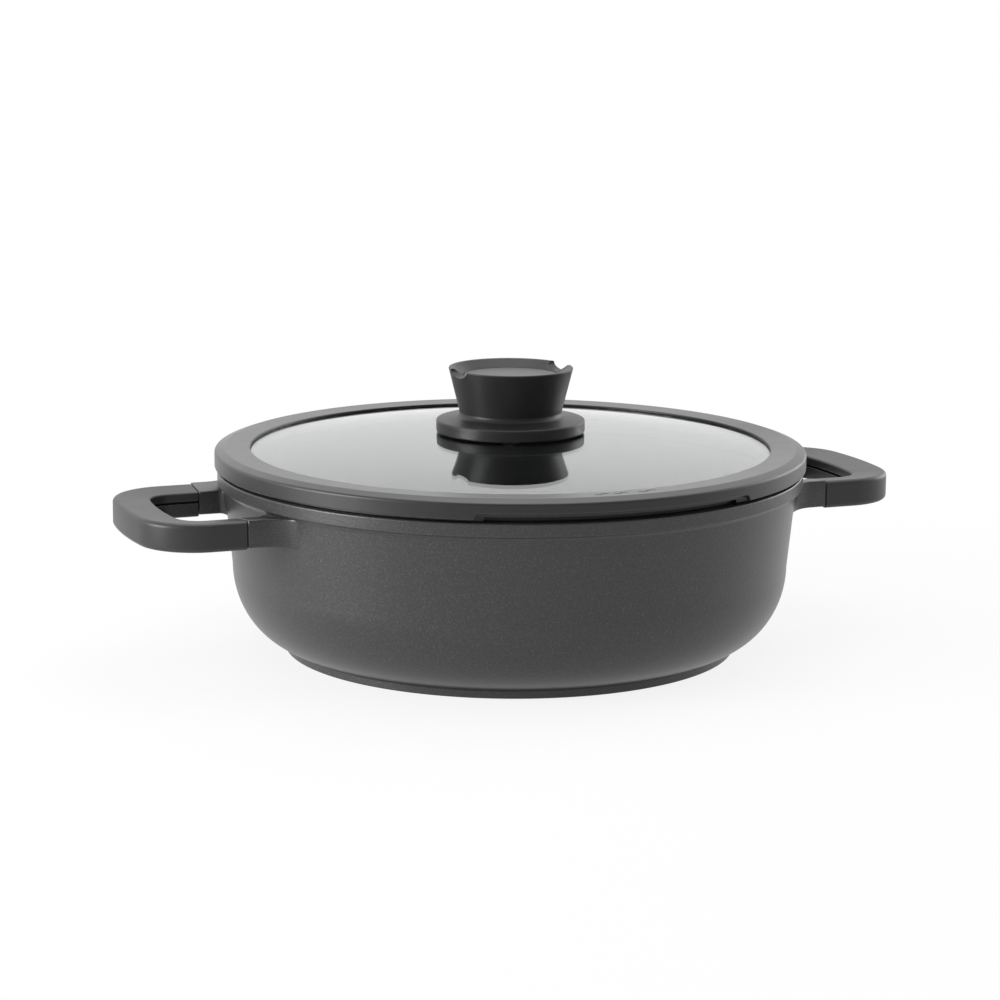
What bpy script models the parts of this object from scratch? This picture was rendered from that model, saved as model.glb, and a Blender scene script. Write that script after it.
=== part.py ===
"""Saute pan: cast pan with two loop handles, and a domed glass lid with a wide silicone rim.

Metres, +Z up. The origin is the centre of the base, on the surface that the pan stands on.
The handles lie along X, and the lid's strainer side faces -Y.
"""
import math

import bmesh
import bpy
from mathutils import Matrix, Vector

MM = 0.001

# General
CLEARANCE = 0.3 * MM            # gap between two pieces that touch
ROUND_STEPS = 56                # flat sides on the large turned pieces
KNOB_STEPS = 36                 # flat sides on the knob's turned pieces
SMALL_STEPS = 16                # flat sides on screws, inserts and their holes
SHARP_ANGLE = math.radians(35)  # edges at least this sharp aren't smoothed

# Cast pan
OPENING_RADIUS = 140.0 * MM     # inside radius at the top: a 28 cm pan
PAN_HEIGHT = 90.8 * MM
BAND_WIDTH = 6.5 * MM           # the thick band round the top edge
BAND_HEIGHT = 6.4 * MM
BAND_EDGE = 1.2 * MM            # rounding of the band's upper edges
BAND_LOW_EDGE = 0.4 * MM        # rounding of its lower edge
BAND_FILLET = 3.1 * MM          # hollow fillet between the band and the wall
WALL_THICKNESS = 3.3 * MM
WALL_TAPER = 4.0 * MM           # how far the wall leans in before its corner
CORNER_WIDTH = 33.4 * MM        # the corner between wall and base, a quarter ellipse
CORNER_HEIGHT = 40.1 * MM
CORNER_BOTTOM = 3.3 * MM        # where that ellipse would reach its lowest point
FOOT_STEP = 7.4 * MM            # the foot ring stands out this far from there
FOOT_CREASE = 1.0 * MM          # the corner overhangs the foot ring by this much
FOOT_HEIGHT = 3.6 * MM
FOOT_EDGE = 0.5 * MM
FLOOR_THICKNESS = 6.0 * MM

# Steel plate in the base, for induction hobs
PLATE_MARGIN = 17.3 * MM        # from the plate's edge to the foot ring's
PLATE_THICKNESS = 1.0 * MM
PLATE_HOLE_RADIUS = 3.5 * MM
PLATE_HOLE_RINGS = 3
PLATE_HOLES_PER_RING = 6        # holes that each ring has more than the one inside it
PLATE_HOLE_STEPS = 8

# Loop handles: plan
HANDLE_LENGTH = 47.6 * MM       # outwards from the joint with the lugs
HANDLE_HALF_WIDTH = 50.6 * MM
HANDLE_CORNER = 29.5 * MM       # outer corner radius
ARM_WIDTH = 16.4 * MM
BAR_WIDTH = 18.5 * MM
LOOP_CORNER = 12.0 * MM         # corner radius of the finger gap
CORNER_STEPS = 7
BAR_STEPS = 2

# Loop handles: section
HANDLE_SET_DOWN = 8.3 * MM      # top of the handle below the pan's edge
HANDLE_DEPTH = 14.2 * MM
TOP_FALL = 1.8 * MM             # the top slopes down to the finger gap by this much
OUTER_EDGE = 2.2 * MM           # rounding along the outer edges
INNER_EDGE = 1.2 * MM           # rounding along the other edges
SHELL_WALL = 2.4 * MM
GROOVE_HEIGHT = 1.2 * MM        # parting groove round the finger gap
GROOVE_CENTRE = 7.5 * MM        # above the handle's bottom
TONGUE_WALL = 1.2 * MM          # the lower shell's tongue behind the groove
TONGUE_RISE = 1.2 * MM          # how far it passes the groove's upper edge
LOWER_PLATE = 3.0 * MM

# Lugs, cast in one with the pan
LUG_LENGTH = 5.3 * MM           # from the band's outside to the joint with the handle
LUG_TOP_STEP = 0.3 * MM         # above the handle's top
LUG_BOTTOM_STEP = 0.9 * MM      # above the handle's bottom
LUG_DROP = 1.5 * MM             # how much lower its underside is at the wall
LUG_EDGE = 1.0 * MM
LUG_OUTER_FILLET = 16.0 * MM    # hollow fillet between lug and wall, on the lug's outer side
LUG_INNER_FILLET = 3.0 * MM     # the same on the side of the finger gap
LUG_STEPS = 5
TENON_LENGTH = 14.0 * MM
TENON_HEIGHT = 3.2 * MM
TENON_SIDE_GAP = 0.6 * MM

# Handle screws and their threaded inserts
SCREW_SET_OUT = 7.0 * MM        # from the joint plane to the screw's axis
SCREW_RADIUS = 1.9 * MM
SCREW_HEAD_RADIUS = 3.5 * MM
SCREW_HEAD_HEIGHT = 1.4 * MM
SCREW_RECESS = 1.8 * MM         # depth of the counterbore under the handle
DRIVE_WIDTH = 0.9 * MM
DRIVE_LENGTH = 3.6 * MM
DRIVE_DEPTH = 0.8 * MM
INSERT_WALL = 0.9 * MM
INSERT_LENGTH = 3.4 * MM
BOSS_WALL = 1.2 * MM

# Glass
GLASS_INSET = 1.0 * MM          # the glass ends this far inside the pan's opening
GLASS_THICKNESS = 4.0 * MM
GLASS_LIFT = 8.1 * MM           # top of the glass at its edge, above the pan's edge
DOME_RISE = 9.65 * MM           # from the glass's edge up to its middle
DOME_POWER = 2.3                # above 2 it is flatter in the middle and steeper at the edge
GLASS_HOLE_RADIUS = 4.6 * MM
GLASS_EDGE = 0.8 * MM
DOME_STEPS = 6

# Silicone rim of the lid
RIM_OVERHANG = 1.3 * MM         # the rim reaches this far past the pan's band
RIM_WIDTH = 17.8 * MM
RIM_RISE = 11.2 * MM            # ridge of the rim above the pan's edge
RIM_BEVEL_WIDTH = 5.1 * MM      # from the ridge out to the rim's side
RIM_BEVEL_DROP = 1.7 * MM
RIM_INNER_DROP = 0.4 * MM       # from the ridge down to the glass's side
RIM_ROUND = 1.0 * MM            # rounding of the outer top edge
RIM_EDGE = 0.5 * MM             # rounding of the other edges
SKIRT_LIFT = 1.8 * MM           # the skirt's bottom above the pan's edge
SKIRT_WIDTH = 2.1 * MM
RECESS_LIFT = 3.1 * MM          # the recess behind the skirt, above the pan's edge
SEAT_WIDTH = 4.1 * MM           # the seat on the pan's edge, from the leg outwards
LIP_LENGTH = 8.1 * MM           # the lower lip, from the glass edge inwards
LEG_THICKNESS = 2.2 * MM
LEG_DROP = 6.8 * MM             # how far the leg hangs into the pan
LEG_GAP = 0.8 * MM              # play between the leg and the pan's inside
NOTCH_TURN = math.radians(8.9)  # how far the knob's notches are turned from the handles' line
STRAINER_TURN = math.radians(0.25)  # the strainer side's middle, from -Y towards +X
STRAINER_HALF_ANGLE = math.radians(28.15)
STRAINER_LIFT = 2.9 * MM        # the skirt is this much shorter there
STRAINER_SEAT_LIFT = 2.6 * MM   # and so is the seat behind it
STRAINER_SLOTS = 7
STRAINER_SLOT_WIDTH = 3.6 * MM
STRAINER_SLOT_HEIGHT = 4.2 * MM

# Knob
FLANGE_RADIUS = 37.2 * MM
FLANGE_SIDE = 6.1 * MM
FLANGE_RISE = 2.6 * MM          # from the flange's edge up to the grip
FLANGE_EDGE = 0.8 * MM
FLANGE_WALL = 4.2 * MM
GRIP_FILLET = 1.2 * MM          # hollow fillet at the foot of the grip
GRIP_FOOT_RADIUS = 25.6 * MM
GRIP_TOP_RADIUS = 31.2 * MM
KNOB_HEIGHT = 32.1 * MM
GRIP_EDGE = 0.5 * MM
DISH_LIP = 2.4 * MM             # width of the lip round the dish
DISH_DEPTH = 3.8 * MM           # down to the disc
DISC_RADIUS = 23.4 * MM
DISC_THICKNESS = 1.1 * MM
SPIGOT_RADIUS = 14.0 * MM       # the base's spigot inside the grip
SPIGOT_HEIGHT = 3.0 * MM
NOTCH_WIDTH = 15.0 * MM         # at the lip
NOTCH_CORNER = 5.2 * MM         # width of the hollow corners at the notch's floor
NOTCH_STEP = 0.2 * MM           # the notch's floor above the disc
CORE_WALL = 2.6 * MM            # wall of the threaded core
DISH_WALL = 2.1 * MM            # between the core's pocket and the dish

# Knob screw and its seals
KNOB_SCREW_RADIUS = 2.4 * MM
KNOB_SCREW_HEAD_RADIUS = 5.0 * MM
KNOB_SCREW_HEAD_HEIGHT = 2.6 * MM
KNOB_SCREW_TIP_GAP = 2.0 * MM   # from the screw's tip to the top of the core
KNOB_DRIVE_LENGTH = 5.6 * MM
KNOB_DRIVE_WIDTH = 1.3 * MM
KNOB_DRIVE_DEPTH = 1.4 * MM
SEAL_THICKNESS = 1.0 * MM
UPPER_SEAL_RADIUS = 16.0 * MM
LOWER_SEAL_RADIUS = 11.0 * MM
WASHER_RADIUS = 10.0 * MM
WASHER_THICKNESS = 1.1 * MM

# Worked out from the values above
BAND_RADIUS = OPENING_RADIUS + BAND_WIDTH
BAND_BOTTOM = PAN_HEIGHT - BAND_HEIGHT
WALL_RADIUS = OPENING_RADIUS + WALL_THICKNESS
WALL_FOOT_RADIUS = WALL_RADIUS - WALL_TAPER
CORNER_TOP = CORNER_BOTTOM + CORNER_HEIGHT
CORNER_END_RADIUS = WALL_FOOT_RADIUS - CORNER_WIDTH
CORNER_SWEEP = math.degrees(math.acos((FOOT_STEP + FOOT_CREASE) / CORNER_WIDTH))
FOOT_RADIUS = CORNER_END_RADIUS + FOOT_STEP
PLATE_RADIUS = FOOT_RADIUS - PLATE_MARGIN
PLATE_HOLE_PITCH = PLATE_RADIUS / (PLATE_HOLE_RINGS + 1)
POCKET_DEPTH = PLATE_THICKNESS + 2 * CLEARANCE

LUG_REACH = BAND_RADIUS + LUG_LENGTH
HANDLE_REACH = LUG_REACH + HANDLE_LENGTH
HANDLE_TOP = PAN_HEIGHT - HANDLE_SET_DOWN
HANDLE_BOTTOM = HANDLE_TOP - HANDLE_DEPTH
LUG_TOP = HANDLE_TOP + LUG_TOP_STEP
LUG_BOTTOM = HANDLE_BOTTOM + LUG_BOTTOM_STEP
ARM_START = LUG_REACH + CLEARANCE
ARM_INNER_SIDE = HANDLE_HALF_WIDTH - ARM_WIDTH
GROOVE_TOP = HANDLE_BOTTOM + GROOVE_CENTRE + GROOVE_HEIGHT / 2
GROOVE_BOTTOM = GROOVE_TOP - GROOVE_HEIGHT
TONGUE_INSET = SHELL_WALL + CLEARANCE + TONGUE_WALL
CHANNEL_WIDTH = ARM_WIDTH - SHELL_WALL - TONGUE_INSET
SCREW_X = LUG_REACH + SCREW_SET_OUT
SCREW_Y = HANDLE_HALF_WIDTH - SHELL_WALL - CHANNEL_WIDTH / 2
TENON_BOTTOM = HANDLE_BOTTOM + LOWER_PLATE + CLEARANCE
TENON_TOP = TENON_BOTTOM + TENON_HEIGHT
SCREW_HOLE_RADIUS = SCREW_RADIUS + CLEARANCE
INSERT_RADIUS = SCREW_HOLE_RADIUS + INSERT_WALL
INSERT_HOLE_RADIUS = INSERT_RADIUS + CLEARANCE
BOSS_RADIUS = INSERT_HOLE_RADIUS + BOSS_WALL
BOSS_BOTTOM = TENON_TOP + CLEARANCE
INSERT_BOTTOM = BOSS_BOTTOM
INSERT_TOP = INSERT_BOTTOM + INSERT_LENGTH
SCREW_HEAD_TOP = HANDLE_BOTTOM + SCREW_RECESS - CLEARANCE

GLASS_RADIUS = OPENING_RADIUS - GLASS_INSET
GLASS_CROWN = PAN_HEIGHT + GLASS_LIFT + DOME_RISE
LID_SEAT = PAN_HEIGHT + CLEARANCE
RIM_RADIUS = BAND_RADIUS + RIM_OVERHANG
RIM_INNER_RADIUS = RIM_RADIUS - RIM_WIDTH
RIM_TOP = PAN_HEIGHT + RIM_RISE
SKIRT_BOTTOM = PAN_HEIGHT + SKIRT_LIFT
CHANNEL_RADIUS = GLASS_RADIUS + CLEARANCE
SKIRT_INNER_RADIUS = RIM_RADIUS - SKIRT_WIDTH
RECESS_TOP = PAN_HEIGHT + RECESS_LIFT

FLANGE_BOTTOM = GLASS_CROWN + CLEARANCE
KNOB_TOP = FLANGE_BOTTOM + KNOB_HEIGHT
FLANGE_TOP = FLANGE_BOTTOM + FLANGE_SIDE
BASE_TOP = FLANGE_TOP + FLANGE_RISE + GRIP_FILLET
GRIP_BOTTOM = BASE_TOP + CLEARANCE
DISC_TOP = KNOB_TOP - DISH_DEPTH
NOTCH_DEPTH = DISH_DEPTH - NOTCH_STEP
DISH_FLOOR = DISC_TOP - DISC_THICKNESS - CLEARANCE
UPPER_SEAL_BOTTOM = GLASS_CROWN + CLEARANCE
HUB_BOTTOM = UPPER_SEAL_BOTTOM + SEAL_THICKNESS + CLEARANCE
KNOB_BORE_RADIUS = KNOB_SCREW_RADIUS + CLEARANCE
CORE_RADIUS = KNOB_BORE_RADIUS + CORE_WALL
CORE_BOTTOM = BASE_TOP + SPIGOT_HEIGHT + CLEARANCE
CORE_TOP = DISH_FLOOR - DISH_WALL - CLEARANCE
COLLAR_RADIUS = GLASS_HOLE_RADIUS - CLEARANCE
GLASS_UNDERSIDE = GLASS_CROWN - GLASS_THICKNESS
LOWER_SEAL_TOP = GLASS_UNDERSIDE - CLEARANCE
WASHER_TOP = LOWER_SEAL_TOP - SEAL_THICKNESS - CLEARANCE
KNOB_SCREW_SEAT = WASHER_TOP - WASHER_THICKNESS - CLEARANCE

CAST = ("cast_aluminium", (0.075, 0.075, 0.078), 0.55, 0.35)
STEEL = ("stainless_steel", (0.55, 0.55, 0.56), 0.3, 1.0)
HANDLE_PLASTIC = ("handle_plastic", (0.06, 0.06, 0.062), 0.6, 0.0)
BRASS = ("brass", (0.62, 0.47, 0.22), 0.35, 1.0)
GLASS = ("tempered_glass", (0.72, 0.76, 0.76), 0.03, 0.0)
SILICONE = ("grey_silicone", (0.12, 0.12, 0.122), 0.65, 0.0)
SEAL_RUBBER = ("seal_silicone", (0.2, 0.2, 0.2), 0.7, 0.0)
KNOB_PLASTIC = ("knob_plastic", (0.045, 0.045, 0.047), 0.5, 0.0)


def clear_scene():
    """Remove every object of the scene that the script starts in."""
    for thing in list(bpy.data.objects):
        bpy.data.objects.remove(thing, do_unlink=True)


def new_collection(name):
    """Make a collection and link it to the scene."""
    group = bpy.data.collections.new(name)
    bpy.context.scene.collection.children.link(group)
    return group


def material(spec):
    """Return the material for a (name, colour, roughness, metallic) tuple."""
    name, colour, roughness, metallic = spec
    found = bpy.data.materials.get(name)
    if found:
        return found
    made = bpy.data.materials.new(name)
    made.use_nodes = True
    shader = made.node_tree.nodes["Principled BSDF"]
    shader.inputs["Base Color"].default_value = (*colour, 1.0)
    shader.inputs["Roughness"].default_value = roughness
    shader.inputs["Metallic"].default_value = metallic
    made.diffuse_color = (*colour, 1.0)
    return made


def place(name, mesh, group, finish=None):
    """Make an object of a mesh, in a collection, with its material."""
    thing = bpy.data.objects.new(name, mesh)
    group.objects.link(thing)
    if finish:
        mesh.materials.append(material(finish))
        mesh.shade_smooth()
        mesh.set_sharp_from_angle(angle=SHARP_ANGLE)
    else:
        thing.hide_render = True
        thing.display_type = "WIRE"
    return thing


def arc(centre, radii, start, end, steps):
    """Points on an ellipse's arc, from one angle in degrees to another, both included."""
    points = []
    for index in range(steps + 1):
        angle = math.radians(start + (end - start) * index / steps)
        points.append((centre[0] + radii[0] * math.cos(angle), centre[1] + radii[1] * math.sin(angle)))
    return points


def turned(name, profile, steps, group, finish=None, closed=True):
    """Turn a profile of (radius, height) points round Z; it runs down its outer side."""
    mesh = bpy.data.meshes.new(name)
    edges = [(index, index + 1) for index in range(len(profile) - 1)]
    if closed:
        edges.append((len(profile) - 1, 0))
    mesh.from_pydata([(radius, 0.0, height) for radius, height in profile], edges, [])
    thing = place(name, mesh, group, finish)
    screw = thing.modifiers.new("turn", "SCREW")
    screw.axis = "Z"
    screw.angle = math.tau
    screw.steps = steps
    screw.render_steps = steps
    screw.use_smooth_shade = True
    screw.use_merge_vertices = True
    screw.merge_threshold = 0.00001
    return thing


def lofted(name, rings, group, finish=None, capped_end=True):
    """Skin closed rings of points in order, with a face over the first ring and over the last."""
    mesh = bpy.data.meshes.new(name)
    body = bmesh.new()
    loops = [[body.verts.new(point) for point in ring] for ring in rings]
    count = len(rings[0])
    for lower, upper in zip(loops, loops[1:]):
        for index in range(count):
            after = (index + 1) % count
            body.faces.new((lower[index], lower[after], upper[after], upper[index]))
    body.faces.new(loops[0])
    if capped_end:
        body.faces.new(loops[-1])
    bmesh.ops.recalc_face_normals(body, faces=body.faces)
    body.to_mesh(mesh)
    body.free()
    return place(name, mesh, group, finish)


def face_outwards_of_open_half(thing, outside_point):
    """Turn an open half's faces outwards, as seen from a point that is outside it."""
    body = bmesh.new()
    body.from_mesh(thing.data)
    target = Vector(outside_point)
    nearest = min(body.faces, key=lambda face: (face.calc_center_median() - target).length)
    if nearest.normal.dot(target - nearest.calc_center_median()) < 0:
        bmesh.ops.reverse_faces(body, faces=body.faces)
    body.to_mesh(thing.data)
    body.free()


def cylinder(name, radius, bottom, top, centre, steps, group, finish=None):
    """An upright cylinder about an axis at centre (x, y)."""
    mesh = bpy.data.meshes.new(name)
    body = bmesh.new()
    middle = Matrix.Translation((centre[0], centre[1], (bottom + top) / 2))
    bmesh.ops.create_cone(body, cap_ends=True, cap_tris=False, segments=steps, radius1=radius,
                          radius2=radius, depth=top - bottom, matrix=middle)
    body.to_mesh(mesh)
    body.free()
    return place(name, mesh, group, finish)


def box(name, low, high, group, turn=0.0):
    """A cutter: the box between two corners, turned about the Z axis."""
    mesh = bpy.data.meshes.new(name)
    body = bmesh.new()
    size = Vector(high) - Vector(low)
    middle = (Vector(high) + Vector(low)) / 2
    shape = Matrix.Rotation(turn, 4, "Z") @ Matrix.Translation(middle) @ Matrix.Diagonal((*size, 1.0))
    bmesh.ops.create_cube(body, size=1.0, matrix=shape)
    body.to_mesh(mesh)
    body.free()
    return place(name, mesh, group)


def sector(name, profile, start, end, steps, group):
    """A cutter: a closed profile of (radius, height) points carried round Z between two angles."""
    rings = []
    for index in range(steps + 1):
        angle = start + (end - start) * index / steps
        rings.append([(radius * math.cos(angle), radius * math.sin(angle), height)
                      for radius, height in profile])
    return lofted(name, rings, group)


def combine(thing, other, operation):
    """Cut or join another object into this one."""
    step = thing.modifiers.new(operation.lower() + "_" + other.name, "BOOLEAN")
    step.operation = operation
    step.solver = "EXACT"
    step.object = other


def mirrored(thing, use_x, use_y, merge):
    """Mirror an object across the origin's planes."""
    step = thing.modifiers.new("mirror", "MIRROR")
    step.use_axis = (use_x, use_y, False)
    step.use_mirror_merge = merge
    step.merge_threshold = 0.00001


def finished(thing):
    """Replace an object's mesh by what its modifiers make of it."""
    bpy.context.view_layer.update()
    graph = bpy.context.evaluated_depsgraph_get()
    mesh = bpy.data.meshes.new_from_object(thing.evaluated_get(graph), depsgraph=graph)
    thing.modifiers.clear()
    thing.data = mesh


def half_turn_copy(thing, name, group):
    """The same piece on the opposite side of the pan."""
    copy = bpy.data.objects.new(name, thing.data)
    copy.rotation_euler = (0.0, 0.0, math.pi)
    group.objects.link(copy)
    return copy


def wall_slope():
    """How much the pan's radius grows for each unit of height on its straight wall."""
    return WALL_TAPER / (BAND_BOTTOM - CORNER_TOP)


def pan_blank_profile():
    """The pan's outside, as if it were solid."""
    fillet_bottom = BAND_BOTTOM - BAND_FILLET
    fillet_radius = WALL_RADIUS - wall_slope() * BAND_FILLET
    points = [(0.0, PAN_HEIGHT)]
    points += arc((BAND_RADIUS - BAND_EDGE, PAN_HEIGHT - BAND_EDGE), (BAND_EDGE, BAND_EDGE), 90, 0, 2)
    low = BAND_LOW_EDGE
    points += arc((BAND_RADIUS - low, BAND_BOTTOM + low), (low, low), 0, -90, 2)
    hollow = BAND_RADIUS - low - fillet_radius
    points += arc((fillet_radius + hollow, fillet_bottom), (hollow, BAND_FILLET), 90, 180, 3)[1:]
    points += arc((CORNER_END_RADIUS, CORNER_TOP), (CORNER_WIDTH, CORNER_HEIGHT), 0, -CORNER_SWEEP, 8)
    points.append((FOOT_RADIUS, FOOT_HEIGHT))
    points.append((FOOT_RADIUS, FOOT_EDGE))
    points.append((FOOT_RADIUS - FOOT_EDGE, 0.0))
    points.append((0.0, 0.0))
    return points


def cavity_profile():
    """The space inside the pan, and above it."""
    above = PAN_HEIGHT + BAND_HEIGHT
    inner_foot = WALL_FOOT_RADIUS - WALL_THICKNESS
    corner_end = inner_foot - CORNER_WIDTH + WALL_THICKNESS / 2
    floor_drop = CORNER_TOP - FLOOR_THICKNESS
    points = [(0.0, above), (OPENING_RADIUS + BAND_EDGE, above)]
    points += arc((OPENING_RADIUS + BAND_EDGE, PAN_HEIGHT - BAND_EDGE), (BAND_EDGE, BAND_EDGE), 90, 180, 2)
    points += arc((corner_end, CORNER_TOP), (inner_foot - corner_end, floor_drop), 0, -90, 6)
    points.append((0.0, FLOOR_THICKNESS))
    return points


def lug_outline(height):
    """A lug's outer and inner plan points at a height: root in the wall, fillets, joint with the handle."""
    wall = WALL_RADIUS - wall_slope() * (BAND_BOTTOM - height) - CLEARANCE
    sides = []
    faces = ((HANDLE_HALF_WIDTH, 1, LUG_OUTER_FILLET), (ARM_INNER_SIDE, -1, LUG_INNER_FILLET))
    for face, outward, fillet in faces:
        centre_y = face + outward * fillet
        centre_x = math.sqrt((wall + fillet) ** 2 - centre_y ** 2)
        towards_axis = math.degrees(math.atan2(centre_y, centre_x)) + 180
        points = arc((centre_x, centre_y), (fillet, fillet), towards_axis, 180 + 90 * outward, LUG_STEPS)
        root = Vector(points[0]) * (OPENING_RADIUS - WALL_THICKNESS) / wall
        sides.append([root] + points + [(LUG_REACH, face)])
    return list(zip(*sides))


def lug_section(drop):
    """A lug's section as (side, inset, height) points; side 0 is its outer side, 1 the finger gap's."""
    bottom = LUG_BOTTOM - drop
    onto_side = (0, 45, 90)
    off_side = (90, 45, 0)
    corners = ((0, bottom, -1, onto_side), (0, LUG_TOP, 1, off_side), (1, LUG_TOP - TOP_FALL, 1, onto_side),
               (1, bottom, -1, off_side))
    section = []
    for side, height, upward, angles in corners:
        for angle in angles:
            inset = LUG_EDGE * (1 - math.sin(math.radians(angle)))
            section.append((side, inset, height - upward * LUG_EDGE * (1 - math.cos(math.radians(angle)))))
    return section


def make_lugs(cutters):
    """The four lugs that carry the handles, with fillets to the wall."""
    rings = []
    for index in range(LUG_STEPS + 3):
        share = 1 - index / (LUG_STEPS + 2)
        ring = []
        for side, inset, height in lug_section(LUG_DROP * share ** 2):
            ends = [Vector(end) for end in lug_outline(height)[index]]
            across = (ends[1 - side] - ends[side]).normalized()
            ring.append((*(ends[side] + across * inset), height))
        rings.append(ring)
    lugs = lofted("lug_blanks", rings, cutters)
    mirrored(lugs, True, True, False)
    return lugs


def make_tenons(cutters):
    """The lugs' tenons, which reach into the handles' shells."""
    outer = HANDLE_HALF_WIDTH - SHELL_WALL - TENON_SIDE_GAP
    inner = HANDLE_HALF_WIDTH - SHELL_WALL - CHANNEL_WIDTH + TENON_SIDE_GAP
    tenons = box("tenon_blanks", (LUG_REACH - LUG_LENGTH, inner, TENON_BOTTOM),
                 (LUG_REACH + TENON_LENGTH, outer, TENON_TOP), cutters)
    mirrored(tenons, True, True, False)
    return tenons


def place_at_screws(name, thing, height, group):
    """Put copies of a piece on the axes of the four handle screws, in place of the piece itself."""
    finished(thing)
    for side, x in (("right", SCREW_X), ("left", -SCREW_X)):
        for arm, y in (("back", SCREW_Y), ("front", -SCREW_Y)):
            copy = bpy.data.objects.new("_".join((name, side, arm)), thing.data)
            copy.location = (x, y, height)
            group.objects.link(copy)
    bpy.data.objects.remove(thing)


def make_pan_body(parts, cutters):
    """The cast pan: its turned blank joined with the lugs, then hollowed and drilled."""
    pan = turned("pan_body", pan_blank_profile(), ROUND_STEPS, parts, CAST, closed=False)
    combine(pan, make_lugs(cutters), "UNION")
    combine(pan, make_tenons(cutters), "UNION")
    cavity = turned("cavity_cutter", cavity_profile(), ROUND_STEPS, cutters, closed=False)
    combine(pan, cavity, "DIFFERENCE")
    pocket_radius = PLATE_RADIUS + CLEARANCE
    pocket = cylinder("pocket_cutter", pocket_radius, -POCKET_DEPTH, POCKET_DEPTH, (0.0, 0.0), ROUND_STEPS,
                      cutters)
    combine(pan, pocket, "DIFFERENCE")
    holes = cylinder("tenon_hole_cutter", SCREW_HOLE_RADIUS, HANDLE_BOTTOM, HANDLE_TOP, (SCREW_X, SCREW_Y),
                     SMALL_STEPS, cutters)
    mirrored(holes, True, True, False)
    combine(pan, holes, "DIFFERENCE")


def make_induction_plate(parts, cutters):
    """The perforated steel plate in the base's pocket."""
    bottom = CLEARANCE
    top = bottom + PLATE_THICKNESS
    plate = cylinder("induction_plate", PLATE_RADIUS, bottom, top, (0.0, 0.0), ROUND_STEPS, parts, STEEL)
    mesh = bpy.data.meshes.new("plate_hole_cutters")
    body = bmesh.new()
    for ring in range(PLATE_HOLE_RINGS + 1):
        count = max(1, PLATE_HOLES_PER_RING * ring)
        for index in range(count):
            angle = math.tau * index / count
            centre = Vector((math.cos(angle), math.sin(angle), 0.0)) * PLATE_HOLE_PITCH * ring
            centre.z = (bottom + top) / 2
            bmesh.ops.create_cone(body, cap_ends=True, segments=PLATE_HOLE_STEPS, radius1=PLATE_HOLE_RADIUS,
                                  radius2=PLATE_HOLE_RADIUS, depth=2 * PLATE_THICKNESS,
                                  matrix=Matrix.Translation(centre))
    body.to_mesh(mesh)
    body.free()
    combine(plate, place("plate_hole_cutters", mesh, cutters), "DIFFERENCE")


def loop_side(reach, side, corner):
    """One side of half a handle: the arm's end, a corner, and a bar that is round about the pan's axis."""
    centre_y = side - corner
    centre = (math.sqrt((reach - corner) ** 2 - centre_y ** 2), centre_y)
    bar_start = math.degrees(math.atan2(centre[1], centre[0]))
    points = [(ARM_START, side)]
    points += arc(centre, (corner, corner), 90, bar_start, CORNER_STEPS)
    points += arc((0.0, 0.0), (reach, reach), bar_start, 0, BAR_STEPS)[1:]
    return points


def loop_stations():
    """Outer and inner plan points of half a handle, from the arm's end to the bar's middle."""
    outer = loop_side(HANDLE_REACH, HANDLE_HALF_WIDTH, HANDLE_CORNER)
    inner = loop_side(HANDLE_REACH - BAR_WIDTH, ARM_INNER_SIDE, LOOP_CORNER)
    return list(zip(outer, inner))


def swept(name, section, parts):
    """Carry a section round half a handle, and mirror it; section(width) gives (inset, height) points."""
    rings = []
    for outer, inner in loop_stations():
        start = Vector((*outer, 0.0))
        across = Vector((*inner, 0.0)) - start
        width = across.length
        across.normalize()
        upwards = Vector((0.0, 0.0, 1.0))
        rings.append([start + across * inset + upwards * height for inset, height in section(width)])
    shell = lofted(name, rings, parts, HANDLE_PLASTIC, capped_end=False)
    face_outwards_of_open_half(shell, (HANDLE_REACH * 2, 0.0, HANDLE_BOTTOM + HANDLE_DEPTH / 2))
    mirrored(shell, False, True, True)
    return shell


def upper_section(width):
    """The upper shell's section: a channel open below, with its inner wall cut short at the groove."""
    top_inner = HANDLE_TOP - TOP_FALL
    ceiling_outer = HANDLE_TOP - SHELL_WALL - TOP_FALL * SHELL_WALL / width
    ceiling_inner = top_inner - SHELL_WALL + TOP_FALL * SHELL_WALL / width
    points = arc((OUTER_EDGE, HANDLE_TOP - OUTER_EDGE), (OUTER_EDGE, OUTER_EDGE), 90, 180, 3)
    points += arc((OUTER_EDGE, HANDLE_BOTTOM + OUTER_EDGE), (OUTER_EDGE, OUTER_EDGE), 180, 270, 3)
    points += [(SHELL_WALL, HANDLE_BOTTOM), (SHELL_WALL, ceiling_outer)]
    points += [(width - SHELL_WALL, ceiling_inner), (width - SHELL_WALL, GROOVE_TOP), (width, GROOVE_TOP)]
    points += arc((width - INNER_EDGE, top_inner - INNER_EDGE), (INNER_EDGE, INNER_EDGE), 0, 90, 2)
    return points


def lower_section(width):
    """The lower shell's section: a floor, the lower inner wall, and a tongue behind the groove."""
    start = SHELL_WALL + CLEARANCE
    behind = width - SHELL_WALL - CLEARANCE
    tongue_top = GROOVE_TOP + TONGUE_RISE
    floor_top = HANDLE_BOTTOM + LOWER_PLATE
    edge = INNER_EDGE
    points = [(start, floor_top), (start, HANDLE_BOTTOM)]
    points += arc((width - edge, HANDLE_BOTTOM + edge), (edge, edge), 270, 360, 2)
    points += [(width, GROOVE_BOTTOM), (behind, GROOVE_BOTTOM), (behind, tongue_top)]
    points += [(behind - TONGUE_WALL, tongue_top), (behind - TONGUE_WALL, floor_top)]
    return points


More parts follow.
